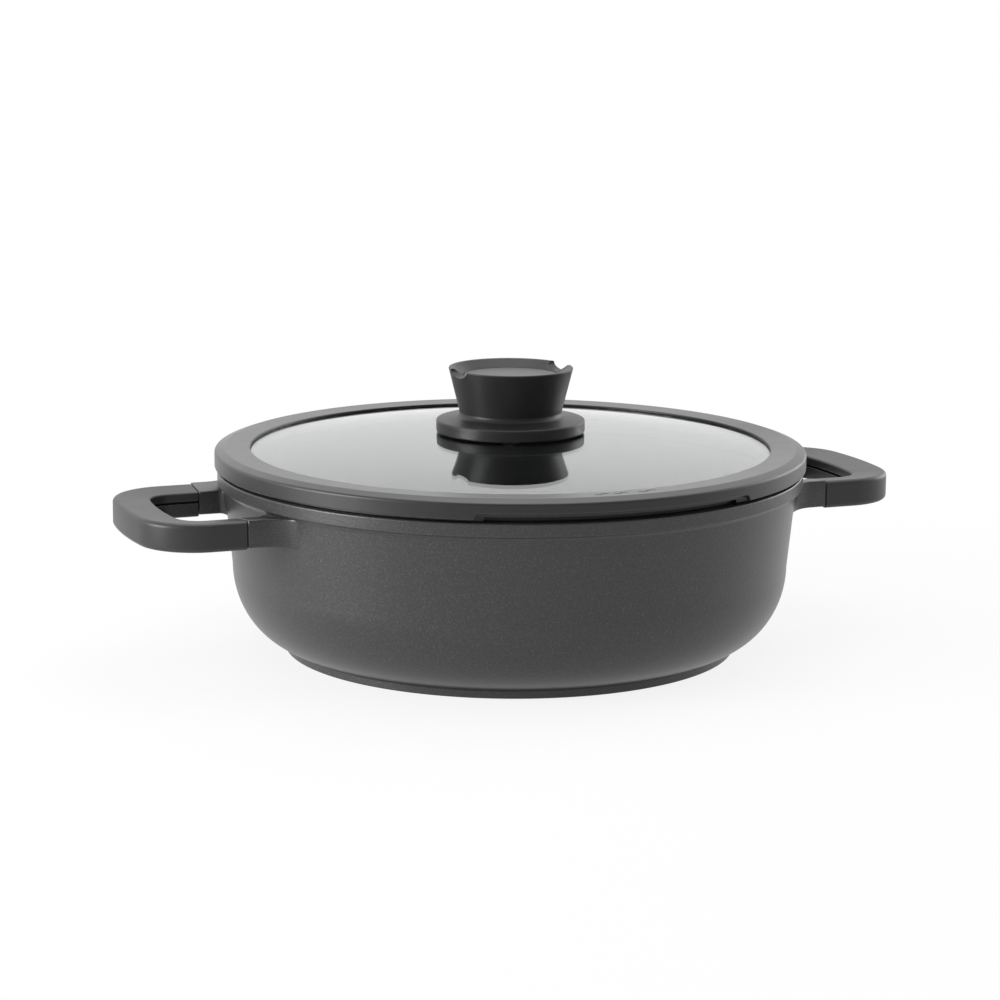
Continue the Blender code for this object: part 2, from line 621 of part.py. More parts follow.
def make_handles(parts, cutters):
    """Both loop handles: an upper shell with bosses, and a lower shell with counterbored holes."""
    upper = swept("handle_upper_right", upper_section, parts)
    bosses = cylinder("boss_blanks", BOSS_RADIUS, BOSS_BOTTOM, HANDLE_TOP - SHELL_WALL, (SCREW_X, SCREW_Y),
                      SMALL_STEPS, cutters)
    mirrored(bosses, False, True, False)
    combine(upper, bosses, "UNION")
    bores = cylinder("boss_bore_cutters", INSERT_HOLE_RADIUS, BOSS_BOTTOM - CLEARANCE, INSERT_TOP + CLEARANCE,
                     (SCREW_X, SCREW_Y), SMALL_STEPS, cutters)
    mirrored(bores, False, True, False)
    combine(upper, bores, "DIFFERENCE")

    lower = swept("handle_lower_right", lower_section, parts)
    holes = cylinder("lower_hole_cutters", SCREW_HOLE_RADIUS, HANDLE_BOTTOM - LOWER_PLATE, TENON_BOTTOM,
                     (SCREW_X, SCREW_Y), SMALL_STEPS, cutters)
    mirrored(holes, False, True, False)
    combine(lower, holes, "DIFFERENCE")
    recess = cylinder("counterbore_cutters", SCREW_HEAD_RADIUS + CLEARANCE, HANDLE_BOTTOM - LOWER_PLATE,
                      HANDLE_BOTTOM + SCREW_RECESS, (SCREW_X, SCREW_Y), SMALL_STEPS, cutters)
    mirrored(recess, False, True, False)
    combine(lower, recess, "DIFFERENCE")

    for thing in (upper, lower):
        finished(thing)
        half_turn_copy(thing, thing.name.replace("right", "left"), parts)


def make_handle_inserts(parts):
    """The four threaded brass inserts in the upper shells' bosses."""
    half_length = INSERT_LENGTH / 2
    profile = [(SCREW_HOLE_RADIUS, half_length), (INSERT_RADIUS, half_length), (INSERT_RADIUS, -half_length),
               (SCREW_HOLE_RADIUS, -half_length)]
    place_at_screws("handle_insert", turned("handle_insert", profile, SMALL_STEPS, parts, BRASS),
                    INSERT_BOTTOM + half_length, parts)


def screw_profile(radius, head_radius, head_height, length):
    """A pan-head screw's profile with its head below, from the tip's centre to the head's centre."""
    tip = radius / 3
    crown = head_height / 3
    return [(0.0, length), (radius - tip, length), (radius, length - tip), (radius, 0.0), (head_radius, 0.0),
            (head_radius, -head_height + crown), (head_radius - crown, -head_height), (0.0, -head_height)]


def drive_cutter(name, face, width, length, depth, cutters):
    """The cross recess in the head of a screw on the Z axis; the face is the head's lowest height."""
    near = width / 2
    far = length / 2
    quarter = [(far, -near), (far, near), (near, near)]
    outline = []
    for turn in range(4):
        spin = Matrix.Rotation(turn * math.pi / 2, 2)
        outline += [spin @ Vector(point) for point in quarter]
    rings = [[(x, y, height) for x, y in outline] for height in (face - depth, face + depth)]
    return lofted(name, rings, cutters)


def make_handle_screws(parts, cutters):
    """The four machine screws of the handles, put in from below."""
    length = INSERT_TOP - SCREW_HEAD_TOP - CLEARANCE
    profile = screw_profile(SCREW_RADIUS, SCREW_HEAD_RADIUS, SCREW_HEAD_HEIGHT, length)
    screw = turned("handle_screw", profile, SMALL_STEPS, parts, STEEL, closed=False)
    drive = drive_cutter("drive_cutter", -SCREW_HEAD_HEIGHT, DRIVE_WIDTH, DRIVE_LENGTH, DRIVE_DEPTH, cutters)
    combine(screw, drive, "DIFFERENCE")
    place_at_screws("handle_screw", screw, SCREW_HEAD_TOP, parts)


def dome_height(radius):
    """Height of the glass's top surface at a radius."""
    return GLASS_CROWN - DOME_RISE * (radius / GLASS_RADIUS) ** DOME_POWER


def make_lid_glass(parts):
    """The domed glass disc, with the knob's hole in its middle."""
    top = []
    under = []
    for index in range(DOME_STEPS + 1):
        radius = GLASS_HOLE_RADIUS + (GLASS_RADIUS - GLASS_EDGE - GLASS_HOLE_RADIUS) * index / DOME_STEPS
        top.append((radius, dome_height(radius)))
        under.append((radius, dome_height(radius) - GLASS_THICKNESS))
    edge_top = dome_height(GLASS_RADIUS)
    edge = [(GLASS_RADIUS, edge_top - GLASS_EDGE), (GLASS_RADIUS, edge_top - GLASS_THICKNESS + GLASS_EDGE)]
    turned("lid_glass", top + edge + under[::-1], ROUND_STEPS, parts, GLASS)


def rim_profile():
    """The silicone rim: a channel on the glass edge, a skirt outside and a leg inside the pan."""
    leg_radius = OPENING_RADIUS - LEG_GAP - wall_slope() * LEG_DROP
    leg_bottom = PAN_HEIGHT - LEG_DROP
    leg_inner = leg_radius - LEG_THICKNESS
    seat_radius = leg_radius + SEAT_WIDTH
    ridge_radius = RIM_RADIUS - RIM_BEVEL_WIDTH
    side_top = RIM_TOP - RIM_BEVEL_DROP
    inner_top = RIM_TOP - RIM_INNER_DROP
    lip_radius = CHANNEL_RADIUS - LIP_LENGTH
    lip_top = dome_height(lip_radius) - GLASS_THICKNESS - CLEARANCE
    channel_bottom = dome_height(CHANNEL_RADIUS) - GLASS_THICKNESS - CLEARANCE
    channel_top = dome_height(CHANNEL_RADIUS) + CLEARANCE
    lip_bottom = (LID_SEAT + lip_top) / 2
    mouth = dome_height(RIM_INNER_RADIUS) + CLEARANCE
    edge = RIM_EDGE
    points = [(RIM_INNER_RADIUS + edge, inner_top), (ridge_radius, RIM_TOP)]
    points += arc((RIM_RADIUS - RIM_ROUND, side_top - RIM_ROUND), (RIM_ROUND, RIM_ROUND), 72, 0, 2)
    points += [(RIM_RADIUS, SKIRT_BOTTOM + edge), (RIM_RADIUS - edge, SKIRT_BOTTOM)]
    points += [(SKIRT_INNER_RADIUS, SKIRT_BOTTOM), (SKIRT_INNER_RADIUS, RECESS_TOP)]
    points += [(seat_radius, RECESS_TOP), (seat_radius - edge, LID_SEAT)]
    points += [(leg_radius, LID_SEAT), (leg_radius, leg_bottom + edge), (leg_radius - edge, leg_bottom)]
    points += [(leg_inner + edge, leg_bottom), (leg_inner, leg_bottom + edge), (leg_inner, LID_SEAT)]
    points += [(lip_radius, lip_bottom), (lip_radius, lip_top), (CHANNEL_RADIUS, channel_bottom)]
    points += [(CHANNEL_RADIUS, channel_top), (RIM_INNER_RADIUS, mouth), (RIM_INNER_RADIUS, inner_top - edge)]
    return points


def make_lid_rim(parts, cutters):
    """The silicone rim, cut away on the strainer side."""
    rim = turned("lid_rim", rim_profile(), ROUND_STEPS, parts, SILICONE)
    middle = -math.pi / 2 + STRAINER_TURN
    start = middle - STRAINER_HALF_ANGLE
    end = middle + STRAINER_HALF_ANGLE
    outside = RIM_RADIUS + BAND_WIDTH
    below = PAN_HEIGHT - CLEARANCE
    skirt_start = SKIRT_INNER_RADIUS - CLEARANCE
    skirt = [(skirt_start, below), (outside, below), (outside, SKIRT_BOTTOM + STRAINER_LIFT),
             (skirt_start, SKIRT_BOTTOM + STRAINER_LIFT)]
    combine(rim, sector("skirt_cutter", skirt, start, end, ROUND_STEPS // 4, cutters), "DIFFERENCE")
    seat_top = LID_SEAT + STRAINER_SEAT_LIFT
    seat_start = OPENING_RADIUS + CLEARANCE
    seat = [(seat_start, below), (outside, below), (outside, seat_top), (seat_start, seat_top)]
    inset = STRAINER_SLOT_WIDTH / OPENING_RADIUS
    combine(rim, sector("seat_cutter", seat, start + inset, end - inset, ROUND_STEPS // 4, cutters),
            "DIFFERENCE")
    slot_top = PAN_HEIGHT - LEG_DROP / 2 + STRAINER_SLOT_HEIGHT / 2
    for index in range(STRAINER_SLOTS):
        angle = start + (end - start) * (index + 0.5) / STRAINER_SLOTS
        low = (OPENING_RADIUS - BAND_WIDTH, -STRAINER_SLOT_WIDTH / 2, slot_top - STRAINER_SLOT_HEIGHT)
        high = (OPENING_RADIUS + BAND_WIDTH / 2, STRAINER_SLOT_WIDTH / 2, slot_top)
        combine(rim, box("slot_cutter_" + str(index), low, high, cutters, turn=angle), "DIFFERENCE")


def make_knob_base(parts):
    """The flange under the grip, hollow below, with a hub for the screw and a spigot for the grip."""
    fillet_radius = GRIP_FOOT_RADIUS + GRIP_FILLET
    edge = FLANGE_EDGE
    hollow_top = FLANGE_TOP - FLANGE_WALL
    points = [(KNOB_BORE_RADIUS, BASE_TOP + SPIGOT_HEIGHT), (SPIGOT_RADIUS, BASE_TOP + SPIGOT_HEIGHT),
              (SPIGOT_RADIUS, BASE_TOP), (GRIP_FOOT_RADIUS, BASE_TOP)]
    points += arc((fillet_radius, BASE_TOP), (GRIP_FILLET, GRIP_FILLET), 180, 260, 3)[1:]
    points += [(FLANGE_RADIUS - edge, FLANGE_TOP), (FLANGE_RADIUS, FLANGE_TOP - edge)]
    points += [(FLANGE_RADIUS, FLANGE_BOTTOM + edge), (FLANGE_RADIUS - edge, FLANGE_BOTTOM)]
    points += [(FLANGE_RADIUS - FLANGE_WALL, FLANGE_BOTTOM), (FLANGE_RADIUS - FLANGE_WALL, hollow_top)]
    points += [(UPPER_SEAL_RADIUS, hollow_top), (UPPER_SEAL_RADIUS, HUB_BOTTOM)]
    points.append((KNOB_BORE_RADIUS, HUB_BOTTOM))
    turned("knob_base", points, KNOB_STEPS, parts, KNOB_PLASTIC)


def notch_outline():
    """The section of a notch in the knob's lip: a flat floor between two hollow corners."""
    half = NOTCH_WIDTH / 2
    floor_half = half - NOTCH_CORNER
    radii = (NOTCH_CORNER, NOTCH_DEPTH)
    points = [(half, KNOB_TOP + NOTCH_DEPTH), (-half, KNOB_TOP + NOTCH_DEPTH)]
    points += arc((-floor_half, KNOB_TOP), radii, 180, 270, 4)
    points += arc((floor_half, KNOB_TOP), radii, 270, 360, 4)
    return points


def make_knob_grip(parts, cutters):
    """The flared grip with its dish, its two notches and the pocket for spigot and core."""
    edge = GRIP_EDGE
    pocket_radius = SPIGOT_RADIUS + CLEARANCE
    pocket_top = BASE_TOP + SPIGOT_HEIGHT + CLEARANCE
    core_pocket_radius = CORE_RADIUS + CLEARANCE
    core_pocket_top = CORE_TOP + CLEARANCE
    disc_seat = DISC_RADIUS + CLEARANCE
    points = [(0.0, DISH_FLOOR), (disc_seat, DISH_FLOOR), (disc_seat, DISC_TOP)]
    points += [(GRIP_TOP_RADIUS - DISH_LIP, KNOB_TOP - edge), (GRIP_TOP_RADIUS - DISH_LIP + edge, KNOB_TOP)]
    points += [(GRIP_TOP_RADIUS - edge, KNOB_TOP), (GRIP_TOP_RADIUS, KNOB_TOP - edge)]
    points += [(GRIP_FOOT_RADIUS, GRIP_BOTTOM), (pocket_radius, GRIP_BOTTOM), (pocket_radius, pocket_top)]
    points += [(core_pocket_radius, pocket_top), (core_pocket_radius, core_pocket_top)]
    points.append((0.0, core_pocket_top))
    grip = turned("knob_grip", points, KNOB_STEPS, parts, KNOB_PLASTIC, closed=False)
    ends = (DISC_RADIUS - DISH_LIP, GRIP_TOP_RADIUS + DISH_LIP)
    for name, turn in (("notch_cutter_right", NOTCH_TURN), ("notch_cutter_left", NOTCH_TURN + math.pi)):
        spin = Matrix.Rotation(turn, 3, "Z")
        rings = [[spin @ Vector((end, side, height)) for side, height in notch_outline()] for end in ends]
        combine(grip, lofted(name, rings, cutters), "DIFFERENCE")


def make_knob_small_parts(parts, cutters):
    """The disc in the dish, the threaded core, the seals, the washer and the knob's screw."""
    cylinder("knob_top_disc", DISC_RADIUS, DISC_TOP - DISC_THICKNESS, DISC_TOP, (0.0, 0.0), KNOB_STEPS, parts,
             KNOB_PLASTIC)
    core = [(KNOB_BORE_RADIUS, CORE_TOP), (CORE_RADIUS, CORE_TOP), (CORE_RADIUS, CORE_BOTTOM),
            (KNOB_BORE_RADIUS, CORE_BOTTOM)]
    turned("knob_core", core, SMALL_STEPS, parts, BRASS)
    upper_top = UPPER_SEAL_BOTTOM + SEAL_THICKNESS
    collar_bottom = GLASS_UNDERSIDE + CLEARANCE
    upper = [(KNOB_BORE_RADIUS, upper_top), (UPPER_SEAL_RADIUS, upper_top),
             (UPPER_SEAL_RADIUS, UPPER_SEAL_BOTTOM), (COLLAR_RADIUS, UPPER_SEAL_BOTTOM),
             (COLLAR_RADIUS, collar_bottom), (KNOB_BORE_RADIUS, collar_bottom)]
    turned("glass_seal_upper", upper, SMALL_STEPS * 2, parts, SEAL_RUBBER)
    lower_bottom = LOWER_SEAL_TOP - SEAL_THICKNESS
    lower = [(KNOB_BORE_RADIUS, LOWER_SEAL_TOP), (LOWER_SEAL_RADIUS, LOWER_SEAL_TOP),
             (LOWER_SEAL_RADIUS, lower_bottom), (KNOB_BORE_RADIUS, lower_bottom)]
    turned("glass_seal_lower", lower, SMALL_STEPS * 2, parts, SEAL_RUBBER)
    washer_bottom = WASHER_TOP - WASHER_THICKNESS
    washer = [(KNOB_BORE_RADIUS, WASHER_TOP), (WASHER_RADIUS, WASHER_TOP), (WASHER_RADIUS, washer_bottom),
              (KNOB_BORE_RADIUS, washer_bottom)]
    turned("knob_washer", washer, SMALL_STEPS * 2, parts, STEEL)
    length = CORE_TOP - KNOB_SCREW_TIP_GAP - KNOB_SCREW_SEAT
    profile = screw_profile(KNOB_SCREW_RADIUS, KNOB_SCREW_HEAD_RADIUS, KNOB_SCREW_HEAD_HEIGHT, length)
    screw = turned("knob_screw", profile, SMALL_STEPS, parts, STEEL, closed=False)
    finished(screw)
    screw.data.transform(Matrix.Translation((0.0, 0.0, KNOB_SCREW_SEAT)))
    face = KNOB_SCREW_SEAT - KNOB_SCREW_HEAD_HEIGHT
    drive = drive_cutter("knob_drive_cutter", face, KNOB_DRIVE_WIDTH, KNOB_DRIVE_LENGTH, KNOB_DRIVE_DEPTH,
                         cutters)
    combine(screw, drive, "DIFFERENCE")


def main():
    """Build every piece of the saute pan."""
    clear_scene()
    parts = new_collection("saute_pan")
    cutters = new_collection("cutters")
    make_pan_body(parts, cutters)
    make_induction_plate(parts, cutters)
    make_handles(parts, cutters)
    make_handle_inserts(parts)
    make_handle_screws(parts, cutters)
    make_lid_glass(parts)
    make_lid_rim(parts, cutters)
    make_knob_base(parts)
    make_knob_grip(parts, cutters)
    make_knob_small_parts(parts, cutters)


main()
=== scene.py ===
"""Saute pan: the looks of the cast pan, its loop handles and its glass lid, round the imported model.

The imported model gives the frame: metres, +Z up, the origin at the centre of the base, +X through
the right handle, and the lid's strainer side towards -Y. Sizes in this file are in millimetres.
"""
import logging
import math
from dataclasses import dataclass
from enum import Enum

import bmesh
import bpy
import numpy as np
from mathutils import Matrix, Vector


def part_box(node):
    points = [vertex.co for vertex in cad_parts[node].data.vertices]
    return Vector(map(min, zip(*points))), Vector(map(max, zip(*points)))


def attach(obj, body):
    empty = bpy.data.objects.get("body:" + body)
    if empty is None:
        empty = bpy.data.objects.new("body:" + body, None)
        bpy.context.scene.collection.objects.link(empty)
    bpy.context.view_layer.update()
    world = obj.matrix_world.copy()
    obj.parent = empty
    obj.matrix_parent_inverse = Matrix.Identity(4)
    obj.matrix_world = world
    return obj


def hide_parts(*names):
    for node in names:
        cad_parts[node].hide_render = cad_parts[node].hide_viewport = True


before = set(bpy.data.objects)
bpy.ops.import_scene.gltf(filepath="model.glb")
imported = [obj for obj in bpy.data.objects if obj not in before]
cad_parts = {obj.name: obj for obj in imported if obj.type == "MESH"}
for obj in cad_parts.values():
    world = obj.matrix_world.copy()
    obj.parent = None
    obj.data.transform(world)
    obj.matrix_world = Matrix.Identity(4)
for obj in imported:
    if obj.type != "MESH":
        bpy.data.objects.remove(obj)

MM = 0.001
SHARP_ANGLE = math.radians(35)
FULL_TURN = 2 * math.pi
FRONT = -math.pi / 2       # direction of the lid's strainer side
ROUND_STEPS = 288          # flat sides of the large turned surfaces
KNOB_STEPS = 192           # flat sides of the knob's turned surfaces
SCREW_STEPS = 96           # flat sides of screws, seals and the washer
SMALL_STEPS = 48           # flat sides of bosses and screw holes
HOLE_STEPS = 24            # flat sides of the holes in the steel plate
GAP = 0.3                  # left between two pieces that touch
OPENING_RADIUS = 140.0     # inside of the pan at its mouth
PAN_HEIGHT = 90.8
HANDLE_HALF_WIDTH = 50.6   # from the XZ plane to the outer side of a handle's arm
ARM_INNER = 34.2           # from the XZ plane to the inner side of a handle's arm
TOP_FALL = 1.8             # how far an arm's top falls towards the finger gap
SCREW_Y = 43.15            # from the XZ plane to the axis of a handle screw
SCREW_HOLE = 2.2           # radius of the holes for the handle screws

Colour = tuple[float, float, float]
Socket = bpy.types.NodeSocket
Tree = bpy.types.NodeTree

log = logging.getLogger("saute_pan")


class Body(Enum):
    """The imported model's bodies, which the pieces ride on."""

    PAN = "pan"
    LID = "lid"
    LID_AXIS = "lid_axis"


class Effect(Enum):
    """The shared shader effects: three textures that the finishes choose from, and worn edges."""

    CLOUDY_GRAIN = "cloudy_grain"
    SPECKLE = "speckle"
    BRUSHING = "brushing"
    RUBBED_EDGES = "rubbed_edges"


# Outlines and surfaces


def arc(centre: tuple[float, float], radii: tuple[float, float], start: float, end: float,
        steps: int = 8) -> np.ndarray:
    """Points on an ellipse's arc: the centre plus the radii times the cosine and sine of each angle.

    Args:
        centre: The ellipse's centre.
        radii: Its radius along each of the two axes.
        start: The first angle, in degrees.
        end: The last angle, in degrees.
        steps: The number of equal steps between them.

    Returns:
        An array of steps + 1 points.
    """
    angles = np.radians(np.linspace(start, end, steps + 1))
    return np.array(centre) + np.array(radii) * np.column_stack((np.cos(angles), np.sin(angles)))


def rounded(outline: list[tuple[float, float, float]], steps: int = 5,
            support: float = 0.25) -> np.ndarray:
    """Round the corners of a closed outline.

    Each corner gets an arc that touches both its sides. The arc's centre is on the line that halves
    the corner, at the radius divided by the sine of half the corner's angle, and its points turn
    evenly from one side to the other. A support point follows each end of the arc, so that the flat
    sides stay flat when they are shaded smoothly.

    Args:
        outline: (x, y, radius) of each corner in order; a radius of 0 keeps the corner as it is.
        steps: Flat steps in each arc.
        support: The distance from an arc's end to its support point.

    Returns:
        The outline's points; their number depends only on which radii are 0.
    """
    table = np.array(outline, float)
    spots, radii = table[:, :2], table[:, 2]
    back = np.roll(spots, 1, axis=0) - spots
    ahead = np.roll(spots, -1, axis=0) - spots
    back_length = np.linalg.norm(back, axis=1)
    ahead_length = np.linalg.norm(ahead, axis=1)
    back /= back_length[:, None]
    ahead /= ahead_length[:, None]
    half = np.arccos(np.clip((back * ahead).sum(axis=1), -0.999999, 0.999999)) / 2
    room = 0.47 * np.minimum(back_length, ahead_length)
    reach = np.minimum(radii / np.tan(half), room)
    bisector = back + ahead
    bisector /= np.linalg.norm(bisector, axis=1)[:, None] + 1e-12
    centre = spots + bisector * (reach * np.tan(half) / np.sin(half))[:, None]
    start = spots + back * reach[:, None] - centre
    end = spots + ahead * reach[:, None] - centre
    sweep = (math.pi - 2 * half)[:, None]
    share = np.linspace(0.0, 1.0, steps + 1)[None, :]
    from_start = (np.sin((1 - share) * sweep) / np.sin(sweep))[..., None]
    from_end = (np.sin(share * sweep) / np.sin(sweep))[..., None]
    arcs = centre[:, None] + from_start * start[:, None] + from_end * end[:, None]
    lead = spots + back * np.minimum(reach + support, 0.49 * back_length)[:, None]
    trail = spots + ahead * np.minimum(reach + support, 0.49 * ahead_length)[:, None]
    blocks = np.concatenate((lead[:, None], arcs, trail[:, None]), axis=1)
    return np.concatenate([block if radius > 0 else spot[None]
                           for block, radius, spot in zip(blocks, radii, spots)])


def densified(outline: np.ndarray, first: int, last: int, step: float) -> np.ndarray:
    """Put extra points on an outline between two of its points.

    Args:
        outline: The outline's points.
        first: Number of the point where the stretch begins.
        last: Number of the point where it ends.
        step: The longest side that is left on the stretch.

    Returns:
        The outline with the points added, evenly on each side.
    """
    parts = [outline[:first]]
    for start, end in zip(outline[first:last], outline[first + 1:last + 1]):
        count = max(1, int(math.ceil(np.linalg.norm(end - start) / step)))
        parts.append(start + (end - start) * np.linspace(0.0, 1.0, count, endpoint=False)[:, None])
    return np.vstack((*parts, outline[last:]))


def winding(outline: np.ndarray) -> float:
    """The sign of a closed outline's area: 1 where it runs anticlockwise and -1 where clockwise."""
    ahead = np.roll(outline, -1, axis=0)
    return float(np.sign((outline[:, 0] * ahead[:, 1] - ahead[:, 0] * outline[:, 1]).sum()))


def outline_normals(outline: np.ndarray) -> np.ndarray:
    """Outward normals of a closed outline: the direction between a point's neighbours, turned square.

    Args:
        outline: The outline's points.

    Returns:
        A unit normal for each point.
    """
    along = np.roll(outline, -1, axis=0) - np.roll(outline, 1, axis=0)
    normal = np.column_stack((along[:, 1], -along[:, 0])) * winding(outline)
    return normal / (np.linalg.norm(normal, axis=1)[:, None] + 1e-12)


def edge_wear(outline: np.ndarray, flat: float = 0.1, sharp: float = 0.7) -> np.ndarray:
    """How worn each point of a closed outline is, by how sharply it turns outwards there.

    The turn at a point is the angle between the sides before and after it, and the bend is that turn
    divided by the mean length of the two sides. Wear grows evenly with the bend.

    Args:
        outline: The outline's points.
        flat: The bend, in radians for each millimetre, up to which there is no wear.
        sharp: The bend from which the wear is full.

    Returns:
        Wear from 0 to 1 for each point.
    """
    before = outline - np.roll(outline, 1, axis=0)
    after = np.roll(outline, -1, axis=0) - outline
    crossed = before[:, 0] * after[:, 1] - before[:, 1] * after[:, 0]
    turn = np.arctan2(crossed, (before * after).sum(axis=1))
    length = (np.linalg.norm(before, axis=1) + np.linalg.norm(after, axis=1)) / 2 + 1e-9
    bend = turn / length * winding(outline)
    return np.clip((bend - flat) / (sharp - flat), 0.0, 1.0)


def round_z(radius: np.ndarray, angle: np.ndarray, height: np.ndarray) -> np.ndarray:
    """Points round the Z axis: x and y are the radius times the angle's cosine and sine."""
    radius, angle, height = np.broadcast_arrays(radius, angle, height)
    return np.stack((radius * np.cos(angle), radius * np.sin(angle), height), axis=-1)


@dataclass
class Surface:
    """A shape of one or more closed shells, in millimetres, before it becomes a piece."""

    points: np.ndarray
    faces: list[list[int]]
    wear: np.ndarray

    def joined(self, *others: "Surface") -> "Surface":
        """Put this surface and others into one, their shells kept apart.

        Args:
            others: The surfaces that are added.

        Returns:
            The joint surface.
        """
        every = (self, *others)
        faces = []
        offset = 0
        for each in every:
            faces += [[corner + offset for corner in face] for face in each.faces]
            offset += len(each.points)
        return Surface(np.vstack([each.points for each in every]), faces,
                       np.concatenate([each.wear for each in every]))

    def turned(self, angle: float) -> "Surface":
        """The same surface turned about the Z axis by an angle in radians."""
        spin = np.array(Matrix.Rotation(angle, 3, "Z"))
        return Surface(self.points @ spin.T, self.faces, self.wear)

    def moved(self, x: float = 0.0, y: float = 0.0, z: float = 0.0) -> "Surface":
        """The same surface shifted."""
        return Surface(self.points + np.array((x, y, z)), self.faces, self.wear)

    def mirrored(self, axis: int) -> "Surface":
        """The same surface mirrored along an axis, its faces turned back outwards."""
        flip = np.where(np.arange(3) == axis, -1.0, 1.0)
        return Surface(self.points * flip, [face[::-1] for face in self.faces], self.wear)


def skin(rings: np.ndarray, closed_path: bool, closed_ring: bool = True,
         wear: np.ndarray | None = None) -> Surface:
    """Lay quads between neighbouring rings of points.

    Args:
        rings: Array (rings, points in a ring, 3).
        closed_path: Whether the last ring joins the first; otherwise both end rings are capped.
        closed_ring: Whether a ring's last point joins its first.
        wear: Wear of each point in a ring, the same on every ring.

    Returns:
        The surface, with points numbered ring by ring.
    """
    count, size = rings.shape[:2]
    row = np.arange(count if closed_path else count - 1)[:, None]
    column = np.arange(size if closed_ring else size - 1)[None, :]
    next_row, next_column = (row + 1) % count, (column + 1) % size
    quads = np.broadcast_arrays(row * size + column, row * size + next_column,
                                next_row * size + next_column, next_row * size + column)
    faces = np.stack(quads, axis=-1).reshape(-1, 4).tolist()
    if not closed_path:
        faces.append(list(range(size))[::-1])
        faces.append(list(range((count - 1) * size, count * size)))
    worn = np.zeros(size) if wear is None else wear
    return Surface(rings.reshape(-1, 3), faces, np.broadcast_to(worn, (count, size)).reshape(-1).copy())


def revolve(outline: np.ndarray, steps: int = ROUND_STEPS, solid: bool = False) -> Surface:
    """Turn an outline of (radius, height) points round Z.

    Args:
        outline: The outline's points; a solid one starts and ends on the axis.
        steps: The number of flat sides.
        solid: Whether the outline ends on the axis, and so isn't closed by itself.

    Returns:
        The turned surface.
    """
    angle = np.linspace(0.0, FULL_TURN, steps, endpoint=False)[:, None]
    rings = round_z(outline[:, 0], angle, outline[:, 1])
    return skin(rings, closed_path=True, closed_ring=not solid, wear=edge_wear(outline))


def cylinder(radius: float, bottom: float, top: float, steps: int) -> Surface:
    """A plain upright cylinder on the Z axis."""
    outline = np.array([(0.0, bottom), (radius, bottom), (radius, top), (0.0, top)])
    return revolve(outline, steps, solid=True)


def holed_plate(reaches: tuple[float, float, float, float], bottom: float, top: float,
                hole: float) -> Surface:
    """A flat bar with a round hole on the Z axis.

    At each angle the bar's outside is at the least of the four distances at which that direction
    crosses its sides, and the hole's wall is at the hole's radius.

    Args:
        reaches: How far the bar reaches along +X, -X, +Y and -Y.
        bottom: Height of its lower face.
        top: Height of its upper face.
        hole: Radius of the hole.

    Returns:
        The bar.
    """
    right, left, back, front = reaches
    corner_angles = np.arctan2([back, back, -front, -front], [right, -left, -left, right])
    even_angles = np.linspace(-math.pi, math.pi, SMALL_STEPS, endpoint=False)
    angle = np.sort(np.concatenate((even_angles, corner_angles)))
    cosine, sine = np.cos(angle), np.sin(angle)
    along = np.where(cosine > 0, right, left) / np.maximum(np.abs(cosine), 1e-9)
    across = np.where(sine > 0, back, front) / np.maximum(np.abs(sine), 1e-9)
    outside = np.minimum(along, across)
    inside = np.full_like(angle, hole)
    radius = np.stack((outside, outside, inside, inside), axis=-1)
    return skin(round_z(radius, angle[:, None], np.array((bottom, top, top, bottom))), closed_path=True)


# Shader nodes


def fill(tree: Tree, node: bpy.types.Node, inputs: dict[str | int, object]) -> None:
    """Fill a node's inputs.

    Args:
        tree: The tree that the node is in.
        node: The node.
        inputs: What goes into each input: a socket is linked, and anything else is its value.
    """
    for name, given in inputs.items():
        if isinstance(given, Socket):
            tree.links.new(given, node.inputs[name])
        else:
            node.inputs[name].default_value = given


def add_node(tree: Tree, kind: str, inputs: dict[str | int, object],
             **settings: object) -> bpy.types.Node:
    """Add a shader node.

    Args:
        tree: The tree that gets it.
        kind: Its type, without the words ShaderNode.
        inputs: What goes into its inputs, as fill takes it.
        settings: The node's own settings, which are made before its inputs are filled.

    Returns:
        The node.
    """
    node = tree.nodes.new("ShaderNode" + kind)
    for name, value in settings.items():
        setattr(node, name, value)
    fill(tree, node, inputs)
    return node


def maths(tree: Tree, operation: str, *operands: Socket | float) -> Socket:
    """Add a Math node on sockets or numbers, and return its output."""
    return add_node(tree, "Math", dict(enumerate(operands)), operation=operation).outputs["Value"]


def noise(tree: Tree, vector: Socket, scale: Socket | float, detail: float, roughness: float) -> Socket:
    """Add a noise texture on a vector, and return its value."""
    return add_node(tree, "TexNoise", {"Vector": vector, "Scale": scale, "Detail": detail,
                                       "Roughness": roughness}).outputs["Fac"]


def mixed(tree: Tree, factor: Socket, first: Colour | Socket, second: Colour) -> Socket:
    """Mix two colours by a factor.

    Args:
        tree: The tree that gets the Mix node.
        factor: 0 where the first colour shows and 1 where the second does.
        first: The first colour, or a socket that gives it.
        second: The second colour.

    Returns:
        The mixed colour.
    """
    start = first if isinstance(first, Socket) else (*first, 1.0)
    inputs = {"Factor": factor, "A": start, "B": (*second, 1.0)}
    return add_node(tree, "Mix", inputs, data_type="RGBA").outputs["Result"]


def spread(tree: Tree, value: Socket, given: tuple[float, float], result: tuple[float, float],
           smooth: bool = False) -> Socket:
    """Map a value from one range to another, and hold it beyond both ends.

    Args:
        tree: The tree that gets the Map Range node.
        value: The value.
        given: The range that the value has.
        result: The range that it gets.
        smooth: Whether it goes along a smooth step, and not evenly.

    Returns:
        The mapped value.
    """
    inputs = {"Value": value, "From Min": given[0], "From Max": given[1], "To Min": result[0],
              "To Max": result[1]}
    kind = "SMOOTHSTEP" if smooth else "LINEAR"
    return add_node(tree, "MapRange", inputs, interpolation_type=kind).outputs["Result"]


